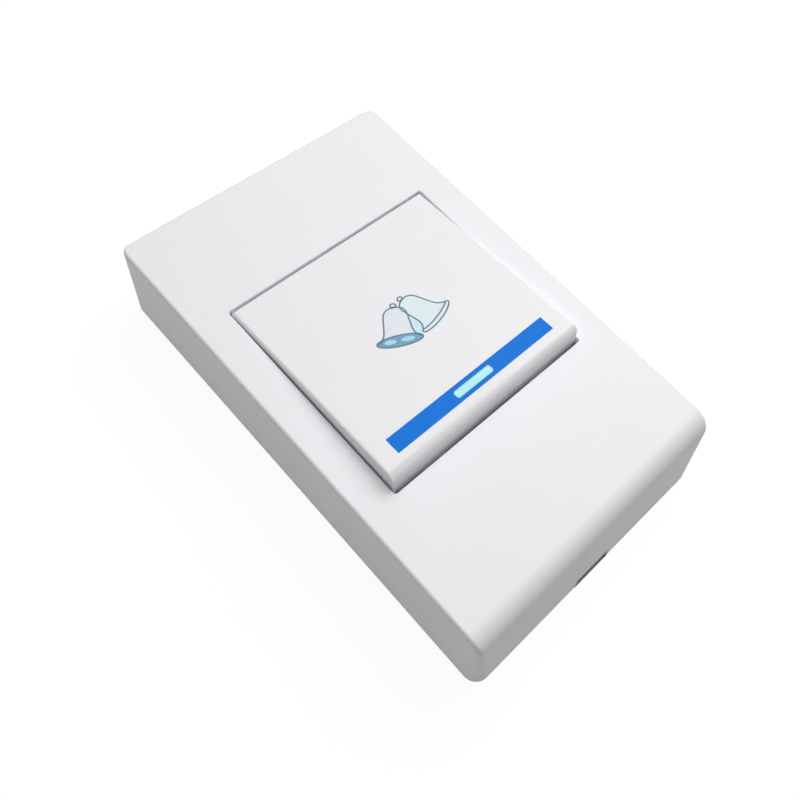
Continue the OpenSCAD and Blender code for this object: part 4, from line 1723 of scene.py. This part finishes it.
@dataclass
class CircuitBoard:
    """Circuit board with its tracks, pads and solder on both sides."""

    track: float = 0.035
    wide: float = 1.3
    narrow: float = 0.45
    leg_in: float = 0.25
    tail_in: float = 1.0
    tails: Spot = (-17.2, 16.32)
    loop_in: float = 1.9
    sink: float = 0.01
    pad: float = 0.62
    chip_half: float = 0.6
    chip_in: float = 0.1
    bus_rise: float = 2.5
    encoder_legs: int = 4
    encoder_leg_half: float = 0.2

    def pins(self) -> dict[str, list[Spot]]:
        """Places of the pins that come through the board.

        Returns:
            The places of the switch's legs, the lamp's leads and the contacts' tails.
        """
        low, high = box_mm("switch_legs")
        sides, ends = [(side + self.leg_in, far - self.leg_in) for side, far in zip(low.xy, high.xy)]
        legs = [(x, y) for y in ends for x in sides]
        low, high = box_mm("led_leads")
        leads = [(x, (low.y + high.y) / 2) for x in (low.x + self.leg_in, high.x - self.leg_in)]
        foot = box_mm("circuit_board")[0].y + self.tail_in
        return {"legs": legs, "leads": leads, "tails": [(x, foot) for x in self.tails]}

    def back_runs(self) -> list[list[Spot]]:
        """Middle lines of the tracks and of the aerial loop at the back.

        Returns:
            The lines.
        """
        legs, (lead_left, lead_right), (minus, plus) = self.pins().values()
        low_left, low_right, up_left, up_right = legs
        high = box_mm("circuit_board")[1]
        x, y = high.x - self.loop_in, high.y
        lamp, switch = lead_left[1], low_left[1]
        loop = [(-x, y - 17.5), (-x, y - 1.5), (x, y - 1.5), (x, y - 24.5)]
        return [
            [plus, (plus[0], lamp - 6), (8, lamp + 3), (8, switch - 5), low_right],
            [minus, (minus[0], lamp - 5), (-12, lamp), lead_left],
            [lead_right, (5, lamp), (8, lamp + 3)],
            [up_left, (-7, up_left[1] + 4), (-7, y - 19.5)],
            [up_right, (6.5, up_right[1] + 3), (6.5, y - 15.5), (2, y - 11)],
            [(-7, y - 19.5), (-9, y - 17.5), *loop, (10, y - 24.5), (6.5, y - 21)],
        ]

    def front_runs(self) -> list[list[Spot]]:
        """Middle lines of the fine tracks between the parts on the front.

        Returns:
            The lines.
        """
        (low_left, low_right, up_left, up_right), (lead_left, _), _ = self.pins().values()
        rows = sorted((box_mm(node) for node in ("resistors", "capacitors")), key=lambda box: box[0].y)
        feet = [row[0].y + self.chip_in for row in rows]
        tops = [row[1].y - self.chip_in for row in rows]
        starts = [row[0].x + self.chip_half for row in rows]
        low, high = box_mm("encoder_legs")
        first, span = low.x + self.encoder_leg_half, high.x - low.x - 2 * self.encoder_leg_half
        legs = [first + i * span / (self.encoder_legs - 1) for i in range(self.encoder_legs)]
        bus = tops[1] + self.bus_rise
        runs = []
        for i in range(CHIP_COUNT):
            one, two = (start + CHIP_PITCH * i for start in starts)
            runs.append([(one, tops[0]), (one, tops[0] + 1.2), (two, feet[1] - 1.0), (two, feet[1])])
            runs.append([(two, tops[1]), (two, bus)])
        for i, leg in enumerate(legs):
            one = starts[0] + CHIP_PITCH * i
            bend = high.y + 2.6 - 0.6 * i
            runs.append([(leg, high.y - self.chip_in), (leg, bend), (one, feet[0] - 0.8), (one, feet[0])])
        bus_end = starts[1] + CHIP_PITCH * (CHIP_COUNT - 1)
        runs.append([(starts[1], bus), (bus_end, bus), (9.5, bus - 3.4), (9.5, feet[1] - 1.6)])
        ends = (
            [(-8, up_left[1] - 3), (-8, lead_left[1] + 4), lead_left],
            [(-7.5, up_left[1] + 1), up_left],
            [(-5.4, up_left[1] + 0.2), (-5.4, low_left[1] + 1.4), low_left],
            [(-5.2, up_right[1] + 2.2), (1, up_right[1] + 2.2), up_right],
        )
        for leg, end in zip(legs, ends):
            runs.append([(leg, low.y + self.chip_in), (leg, end[0][1] + 3), *end])
        runs.append([low_right, (6, low_right[1] - 2), (6, lead_left[1] + 3)])
        return runs

    def tracks(
        self, name: str, runs: Sequence[Sequence[Spot]], width: float, low: float, high: float
    ) -> None:
        """Lay lacquered tracks on one side of the board.

        Args:
            name: name of the new piece.
            runs: middle line of each track.
            width: width of the tracks.
            low: height of their underside.
            high: height of their top.
        """
        draft = MeshDraft()
        for line in runs:
            draft.ribbon(line, width, low, high)
            for spot in (line[0], line[-1]):
                draft.plate(circle(self.pad * width, spot, 16), low, high)
        piece = draft.build(name)
        dress(piece, TRACK_GREEN, Body.FRONT)

    def solder(self, back: float) -> None:
        """Put pads and solder round the pins at the back.

        Args:
            back: height of the board's back.
        """
        pad = [(1.15, -0.02), (1.15, 0.05)]
        cone = [(0.98, 0.06), (0.62, 0.2), (0.45, 0.45), (0.38, 0.62), (0.1, 0.68)]
        draft = MeshDraft()
        for x, y in (spot for spots in self.pins().values() for spot in spots):
            turn = Matrix.Translation((x, y, back)) @ Matrix.Rotation(math.pi, 4, "X")
            draft.lathe(pad + cone, turn, 24)
        piece = draft.build("pin_solder")
        shade(piece, 50)
        dress(piece, TINNED, Body.FRONT)

    def build(self) -> None:
        """Dress the board and lay its tracks and solder."""
        low, high = box_mm("circuit_board")
        carry("circuit_board", BOARD_GREEN, 0.06)
        back, front = (low.z - self.track, low.z + self.sink), (high.z - self.sink, high.z + self.track)
        self.tracks("back_tracks", self.back_runs(), self.wide, *back)
        self.tracks("front_tracks", self.front_runs(), self.narrow, *front)
        self.solder(low.z)


@dataclass
class BoardScrews:
    """Pan-head screws with a cross recess and a thread."""

    r: float = 1.0
    head_r: float = 1.9
    head_h: float = 1.3
    length: float = 5.5
    pitch: float = 0.7
    slot: float = 0.5
    brim: float = 0.5
    core: float = 0.76
    neck: float = 0.95
    thread_end: float = 1.2
    recess_foot: Point = (0.4, 0.1375, 0.35)
    recess_share: float = 0.62
    recess_top: float = 2.0

    def profile(self) -> list[Spot]:
        """Outline of the screw from its tip to its head.

        Returns:
            Radius and height of each ring.
        """
        rings = [(0.05, -self.length), (0.55, -self.length + 0.25)]
        z = -self.length + 0.5
        while z < -self.thread_end:
            rings += [(self.r * self.core, z), (self.r, z + self.pitch / 2)]
            z += self.pitch
        rings += [(self.r * 0.8, -0.8), (self.r * self.neck, -0.4), (self.r * self.neck, 0)]
        rings += [(self.head_r - 0.08, 0), (self.head_r, 0.08)]
        for a in arc(0, 88, 7):
            rings.append((self.head_r * math.cos(a), self.brim + (self.head_h - self.brim) * math.sin(a)))
        return rings

    def recess(self, turn: Matrix, across: bool) -> bpy.types.Object:
        """Solid that cuts one arm of the cross.

        Args:
            turn: places the screw.
            across: whether it is the second arm.

        Returns:
            The cutting solid.
        """
        half = Matrix.Rotation(math.pi / 2 if across else 0, 4, "Z")
        rings = []
        brow = (self.recess_share * self.head_r, self.slot / 2, self.recess_top)
        for half_long, half_wide, z in (self.recess_foot, brow):
            rings.append([(x, y, z) for x, y in rounded_rect(half_long, half_wide, 0.1)])
        draft = MeshDraft()
        draft.loft(rings)
        draft.bend(lambda p: tuple(turn @ half @ Vector(p)))
        return draft.build("recess_tool")

    def build(self) -> None:
        """Make the screws, heads at the board's back."""
        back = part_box("circuit_board")[0].z / MM
        whole = None
        for x, y in quarter_middles("board_screws"):
            turn = Matrix.Translation((x, y, back)) @ Matrix.Rotation(math.pi, 4, "X")
            turn = turn @ Matrix.Rotation(0.4 + x * 0.05, 4, "Z")
            draft = MeshDraft()
            draft.lathe(self.profile(), turn, 28)
            screw = draft.build("screw_blank")
            for across in (False, True):
                work_in(screw, self.recess(turn, across), Join.CUT)
            if whole is None:
                whole = screw
            else:
                work_in(whole, screw, Join.ADD)
        whole.name = "pan_head_screws"
        shade(whole, 40)
        dress(whole, SCREW_STEEL, Body.FRONT, "board_screws")


@dataclass
class PushSwitch:
    """Small push switch with a steel cover held by four studs, and its stem."""

    stud_in: float = 0.75
    stud_r: float = 0.45
    stud_h: float = 0.16
    collar_w: float = 0.3
    collar_h: float = 0.6
    bevel: float = 0.05
    stem_edge: float = 0.3

    def studs(self) -> None:
        """Put the studs on the cover's corners."""
        low, high = box_mm("switch_cover")
        draft = MeshDraft()
        for x in (low.x + self.stud_in, high.x - self.stud_in):
            for y in (low.y + self.stud_in, high.y - self.stud_in):
                turn = Matrix.Translation((x, y, high.z - 0.02))
                dome = [(self.stud_r * math.cos(a), 0.02 + self.stud_h * math.sin(a)) for a in arc(0, 85, 5)]
                draft.lathe([(self.stud_r, 0), *dome], turn, 20)
        add_piece(draft, "switch_studs", SWITCH_BLACK, Body.FRONT)

    def stem(self) -> None:
        """Make the stem with its collar and rounded top."""
        low, high = box_mm("switch_stem")
        collar_r = (high.x - low.x) / 2
        r = collar_r - self.collar_w
        top = [(r - inset, z) for inset, z in rounded_edge(self.stem_edge, high.z - low.z, 5)]
        collar = bevelled_rim(collar_r, self.collar_h, self.bevel)
        draft = MeshDraft()
        draft.lathe([*collar, (r, self.collar_h), *top], foot_middle("switch_stem"), 36)
        add_piece(draft, "switch_plunger", STEM_BLACK, Body.STEM, "switch_stem")

    def build(self) -> None:
        """Dress the switch."""
        carry("switch_base", SWITCH_BLACK, 0.1)
        carry("switch_cover", SWITCH_STEEL, 0.05)
        carry("switch_legs", TINNED, 0.06)
        self.studs()
        self.stem()


@dataclass
class SignalLamp:
    """Signal lamp: clear lens with its metal frame inside."""

    rim_h: float = 0.9
    side_h: float = 3.4
    rim_w: float = 0.4
    bevel: float = 0.06
    cup_x: float = -0.5
    post_x: float = 0.75
    frame_low: float = 0.1

    def build(self) -> None:
        """Make the lens and the frame in it, and dress the leads."""
        low, high = box_mm("led_lens")
        rim_r = (high.x - low.x) / 2
        r = rim_r - self.rim_w
        middle = foot_middle("led_lens")
        dome_h = high.z - low.z - self.side_h
        dome = [(r * math.cos(a), self.side_h + dome_h * math.sin(a)) for a in arc(0, 87, 12)]
        rim = bevelled_rim(rim_r, self.rim_h, self.bevel)
        draft = MeshDraft()
        draft.lathe([*rim, (r, self.rim_h), *dome], middle, 40)
        add_piece(draft, "lamp_dome", LAMP_LENS, Body.FRONT, "led_lens")
        draft = MeshDraft()
        cup = [(0.2, 0), (0.2, 1.4), (0.65, 2.1), (0.7, 2.4), (0.5, 2.2), (0.1, 2.1)]
        post = [(0.2, 0), (0.2, 2.0), (0.12, 2.2)]
        draft.lathe(cup, middle @ Matrix.Translation((self.cup_x, 0, self.frame_low)), 20)
        draft.lathe(post, middle @ Matrix.Translation((self.post_x, 0, self.frame_low)), 16)
        add_piece(draft, "lamp_frame", TINNED, Body.FRONT)
        carry("led_leads", TINNED, 0.08)


@dataclass
class RadioParts:
    """Encoder chip, radio transistor and resonator can."""

    draw: float = 0.14
    chip_edge: float = 0.06
    chip_r: float = 0.1
    dimple_r: float = 0.35
    rim_h: float = 0.5
    rim_w: float = 0.25
    can_edge: float = 0.55

    def moulded_body(self, node: str, name: str) -> bpy.types.Object:
        """Body of a chip with sides that slope both ways from the leg line.

        Args:
            node: the frame node that it stands for.
            name: name of the new piece.

        Returns:
            The piece, with its dimple beside the first leg.
        """
        low, high = box_mm(node)
        middle = ((low.x + high.x) / 2, (low.y + high.y) / 2)
        half = ((high.x - low.x) / 2, (high.y - low.y) / 2)
        split = (low.z + high.z) / 2
        e = self.chip_edge
        upper = ((self.draw * 0.9, high.z - e), (self.draw + e, high.z))
        rings = []
        for inset, z in ((self.draw, low.z), (0, split), *upper):
            outline = rounded_rect(half[0] - inset, half[1] - inset, self.chip_r, middle, 3)
            rings.append([(x, y, z) for x, y in outline])
        draft = MeshDraft()
        draft.loft(rings)
        piece = draft.build(name)
        r = min(self.dimple_r, half[1] * 0.3)
        tool = MeshDraft()
        spot = (middle[0] - half[0] + 2.4 * r, middle[1] - half[1] + 2.4 * r, high.z)
        tool.lathe([(r * 0.7, -0.08), (r, 0), (r * 1.1, 0.1)], Matrix.Translation(spot), 20)
        work_in(piece, tool.build("dimple_tool"), Join.CUT)
        shade(piece)
        return piece

    def can(self) -> None:
        """Make the resonator can with its seam flange."""
        low, high = box_mm("saw_resonator")
        rim_r = (high.x - low.x) / 2
        r = rim_r - self.rim_w
        height = high.z - low.z
        e, rim_h = self.can_edge, self.rim_h
        flange = [(rim_r - 0.05, 0), (rim_r, 0.06), (rim_r, rim_h - 0.08), (rim_r - 0.08, rim_h)]
        neck = [(r + 0.05, rim_h), (r, rim_h + 0.08)]
        top = [(r - inset, z) for inset, z in rounded_edge(e, height, 8)]
        dish = [(r - e - 0.6, height), (r - e - 0.8, height - 0.06), (0.1, height - 0.06)]
        draft = MeshDraft()
        draft.lathe(flange + neck + top + dish, foot_middle("saw_resonator"), 56)
        add_piece(draft, "resonator_can", CAN_STEEL, Body.FRONT, "saw_resonator")

    def build(self) -> None:
        """Make the chip bodies and the can, and dress the legs."""
        for node, name in (("encoder_chip", "encoder_body"), ("transistor_body", "transistor_block")):
            dress(self.moulded_body(node, name), CHIP_BLACK, Body.FRONT, node)
        carry("encoder_legs", TINNED, 0.04)
        carry("transistor_legs", TINNED, 0.04)
        self.can()


@dataclass
class ChipRow:
    """Row of small chip parts with tinned ends, soldered to the board."""

    node: str
    finish: Finish
    end: float = 0.42
    fillet: float = 0.35
    climb: float = 0.55
    inset: float = 0.03
    end_inset: float = 0.1
    body_r: float = 0.05
    end_r: float = 0.06

    def drawn_in(self, half: Spot, r: float, middle: Spot) -> Outline:
        """Outline of a block that can be drawn in.

        Args:
            half: half its size in X and Y.
            r: corner radius.
            middle: its centre.

        Returns:
            Gives the outline drawn in by a length.
        """
        return lambda inset: rounded_rect(half[0] - inset, half[1] - inset, r, middle, 2)

    def solder(
        self, ends: MeshDraft, spot: Spot, sign: int, half_width: float, low: float, high: float
    ) -> None:
        """Add the solder at one end of a chip part.

        Args:
            ends: the draft that it is added to.
            spot: middle of the solder's foot.
            sign: 1 at the upper end, -1 at the lower end.
            half_width: half the width of the part.
            low: height of the solder's foot.
            high: height of its top.
        """
        shift = -sign * self.fillet * 0.4
        rows = [(half_width + 0.1, self.fillet / 2 + 0.1, low), (half_width - 0.1, 0.08, high)]
        rings = []
        for step, (half_x, half_y, z) in enumerate(rows):
            outline = rounded_rect(half_x, half_y, self.end_r, (spot[0], spot[1] + step * shift), 2)
            rings.append([(*corner, z) for corner in outline])
        ends.loft(rings)

    def build(self) -> None:
        """Make the bodies, their ends and the solder."""
        low, high = box_mm(self.node)
        half_width = (high.x - low.x - CHIP_PITCH * (CHIP_COUNT - 1)) / 2
        half_length = (high.y - low.y) / 2
        y = (low.y + high.y) / 2
        top = low.z + self.climb * (high.z - low.z)
        half = (half_width - self.inset, half_length - self.end_inset)
        end_half = (half_width, self.end / 2)
        body, ends = MeshDraft(), MeshDraft()
        for i in range(CHIP_COUNT):
            x = low.x + half_width + i * CHIP_PITCH
            outline = self.drawn_in(half, self.body_r, (x, y))
            body.prism(outline, low.z + self.inset, high.z - self.inset, self.body_r)
            for sign in (-1, 1):
                outline = self.drawn_in(end_half, self.end_r, (x, y + sign * (half_length - self.end / 2)))
                ends.prism(outline, low.z, high.z, self.end_r)
                foot = (x, y + sign * (half_length + self.fillet / 2 - 0.05))
                self.solder(ends, foot, sign, half_width, low.z - 0.005, top)
        add_piece(body, f"{self.node}_bodies", self.finish, Body.FRONT, self.node)
        add_piece(ends, f"{self.node}_ends", TINNED, Body.FRONT)


@dataclass
class BatteryBay:
    """Small battery lying across the case, with its contact plates and coil spring."""

    shoulder: float = 0.5
    lip: float = 0.85
    wire_r: float = 0.3
    turns: float = 3.5
    wide_r: float = 3.6
    narrow_r: float = 2.4
    turn_steps: int = 28
    tip_edge: float = 0.35

    def axis(self) -> Matrix:
        """Place of the battery's flat end, with +Z along the battery.

        Returns:
            The place as a matrix.
        """
        low, high = box_mm("battery_body")
        start = (low.x, (low.y + high.y) / 2, (low.z + high.z) / 2)
        return Matrix.Translation(start) @ Matrix.Rotation(math.pi / 2, 4, "Y")

    def battery(self) -> None:
        """Make the sleeve, the steel ends and the tip."""
        low, high = box_mm("battery_body")
        length, r = high.x - low.x, (high.y - low.y) / 2
        s = self.shoulder
        half = [(r - s * (1 - math.sin(a)), s * (1 - math.cos(a))) for a in arc(0, 90, 6)]
        inner = r - self.lip
        near = [(inner - 0.05, 0.25), (inner, 0.05), (inner + 0.06, 0)]
        profile = near + half
        draft = MeshDraft()
        draft.lathe(profile + [(x, length - z) for x, z in reversed(profile)], self.axis(), 64)
        add_piece(draft, "battery_sleeve", BATTERY_GOLD, Body.FRONT, "battery_body")
        draft = MeshDraft()
        disc = [(0.1, 0.02), (inner - 0.5, 0.02), (inner - 0.25, 0.1)]
        disc += [(inner - 0.08, 0.22), (inner - 0.08, 0.4)]
        draft.lathe(disc, self.axis(), 48)
        draft.lathe([(x, length - z) for x, z in reversed(disc)], self.axis(), 48)
        tip_low, tip_high = box_mm("battery_terminal")
        tip_r, tip_h = (tip_high.y - tip_low.y) / 2, tip_high.x - tip_low.x
        neck = tip_r - 0.1
        tip = [(tip_r, -0.1), (tip_r, 0.15), (neck, 0.25)]
        tip += [(neck - inset, z) for inset, z in rounded_edge(self.tip_edge, tip_h, 6)]
        draft.lathe(tip, self.axis() @ Matrix.Translation((0, 0, length)), 40)
        add_piece(draft, "battery_ends", TERMINAL_STEEL, Body.FRONT, "battery_terminal")

    def spring(self) -> None:
        """Wind the contact spring from the plate to the battery."""
        low, high = box_mm("negative_spring")
        axis = self.axis().translation
        start, end = low.x + self.wire_r, high.x - self.wire_r
        steps = int(self.turns * self.turn_steps)
        line = []
        for i in range(steps + 1):
            share = i / steps
            turn = 2 * math.pi * self.turns * share
            r = self.wide_r + (self.narrow_r - self.wide_r) * share
            x = start + (end - start) * share
            line.append((x, axis.y + r * math.cos(turn), axis.z + r * math.sin(turn)))
        draft = MeshDraft()
        draft.tube(line, self.wire_r)
        add_piece(draft, "contact_coil", SPRING_STEEL, Body.FRONT, "negative_spring")

    def build(self) -> None:
        """Make the battery and the spring, and dress the plates."""
        self.battery()
        self.spring()
        carry("negative_contact", CONTACT_STEEL, 0.06)
        carry("positive_contact", CONTACT_STEEL, 0.06)


# The studio


@dataclass
class Studio:
    """Floor, lamps, surroundings and camera."""

    floor_half_m: float = 3.0
    camera_place: Point = (-56.592, -44.431, 141.155)
    camera_right: Point = (0.707574, -0.689443, 0.154945)
    camera_down: Point = (-0.547007, -0.673213, -0.497561)
    focal_px: float = 861.1
    principal_px: Spot = (481.0, 336.3)
    frame_px: float = 800
    lamp_size: float = 500
    lamp_distance: float = 700
    lamp_aim: Point = (0, 0, 10)
    lamps: tuple[tuple[str, float, float, float], ...] = (
        ("right_lamp", 0, 50, 2.34),
        ("overhead_lamp", 0, 90, 1.5),
        ("rear_right_lamp", 45, 50, 1.32),
        ("left_lamp", 180, 20, 0.62),
    )
    room_level: float = 0.01
    floor_gap: float = 0.02
    sensor: float = 36
    clip_m: float = 0.005

    def floor(self) -> None:
        """Lay the floor just under the object."""
        draft = MeshDraft()
        half = self.floor_half_m / MM
        outline = rounded_rect(half, half, half / 2, steps=24)
        draft.faces.append(draft.ring((x, y, -self.floor_gap) for x, y in outline))
        piece = draft.build("floor")
        piece.data.materials.append(FLOOR_WHITE.material())

    def lamp(self, name: str, turn: float, rise: float, power: float) -> None:
        """Set up a soft box that faces the object.

        Args:
            name: name of the lamp.
            turn: its direction round the object in degrees, from +X towards +Y.
            rise: its height above the horizon in degrees.
            power: its power in watts.
        """
        light = bpy.data.lights.new(name, "AREA")
        light.shape = "SQUARE"
        light.size = self.lamp_size * MM
        light.energy = power
        lamp = bpy.data.objects.new(name, light)
        turn, rise = math.radians(turn), math.radians(rise)
        level = math.cos(rise)
        away = Vector((level * math.cos(turn), level * math.sin(turn), math.sin(rise)))
        lamp.location = (Vector(self.lamp_aim) + away * self.lamp_distance) * MM
        lamp.rotation_euler = away.to_track_quat("Z", "Y").to_euler()
        bpy.context.scene.collection.objects.link(lamp)

    def surroundings(self) -> None:
        """Dim room round the lamps; the camera, gloss and clear pieces see white."""
        world = bpy.data.worlds.new("room")
        world.use_nodes = True
        tree = world.node_tree
        room = tree.nodes["Background"]
        room.inputs["Color"].default_value = (1, 1, 1, 1)
        room.inputs["Strength"].default_value = self.room_level
        white = tree.nodes.new("ShaderNodeBackground")
        white.inputs["Color"].default_value = (1, 1, 1, 1)
        whole = mixed(tree, backdrop_share(tree), room.outputs[0], white.outputs[0])
        tree.links.new(whole, tree.nodes["World Output"].inputs["Surface"])
        bpy.context.scene.world = world

    def camera(self) -> None:
        """Set the camera where the photograph was taken from."""
        data = bpy.data.cameras.new("camera")
        data.sensor_width = self.sensor
        data.lens = self.focal_px / self.frame_px * self.sensor
        data.shift_x = (self.frame_px / 2 - self.principal_px[0]) / self.frame_px
        data.shift_y = (self.principal_px[1] - self.frame_px / 2) / self.frame_px
        data.clip_start = self.clip_m
        camera = bpy.data.objects.new("camera", data)
        right = Vector(self.camera_right).normalized()
        up = -Vector(self.camera_down).normalized()
        back = right.cross(up)
        turn = Matrix((right, up, back)).transposed().to_4x4()
        camera.matrix_world = Matrix.Translation(Vector(self.camera_place) * MM) @ turn
        bpy.context.scene.collection.objects.link(camera)
        bpy.context.scene.camera = camera

    def build(self) -> None:
        """Set the whole studio up."""
        bpy.context.scene.view_settings.view_transform = "Standard"
        self.floor()
        self.surroundings()
        for name, turn, rise, power in self.lamps:
            self.lamp(name, turn, rise, power)
        self.camera()
        LOG.info("studio is set")


def main() -> None:
    """Build and dress the pieces in order, then set the studio up."""
    logging.basicConfig(level=logging.INFO, format="%(name)s: %(message)s")
    FrontCase().build()
    button = RockerButton()
    button.build()
    window = LightWindow()
    window.build(button)
    StripePrint().build(button, window)
    TwinBells().build(button)
    carry("back_cover", COVER_WHITE, 0.15)
    CircuitBoard().build()
    BoardScrews().build()
    PushSwitch().build()
    SignalLamp().build()
    RadioParts().build()
    ChipRow("resistors", RESISTOR_BLACK).build()
    ChipRow("capacitors", CAPACITOR_TAN).build()
    BatteryBay().build()
    Studio().build()


if __name__ == "__main__":
    main()
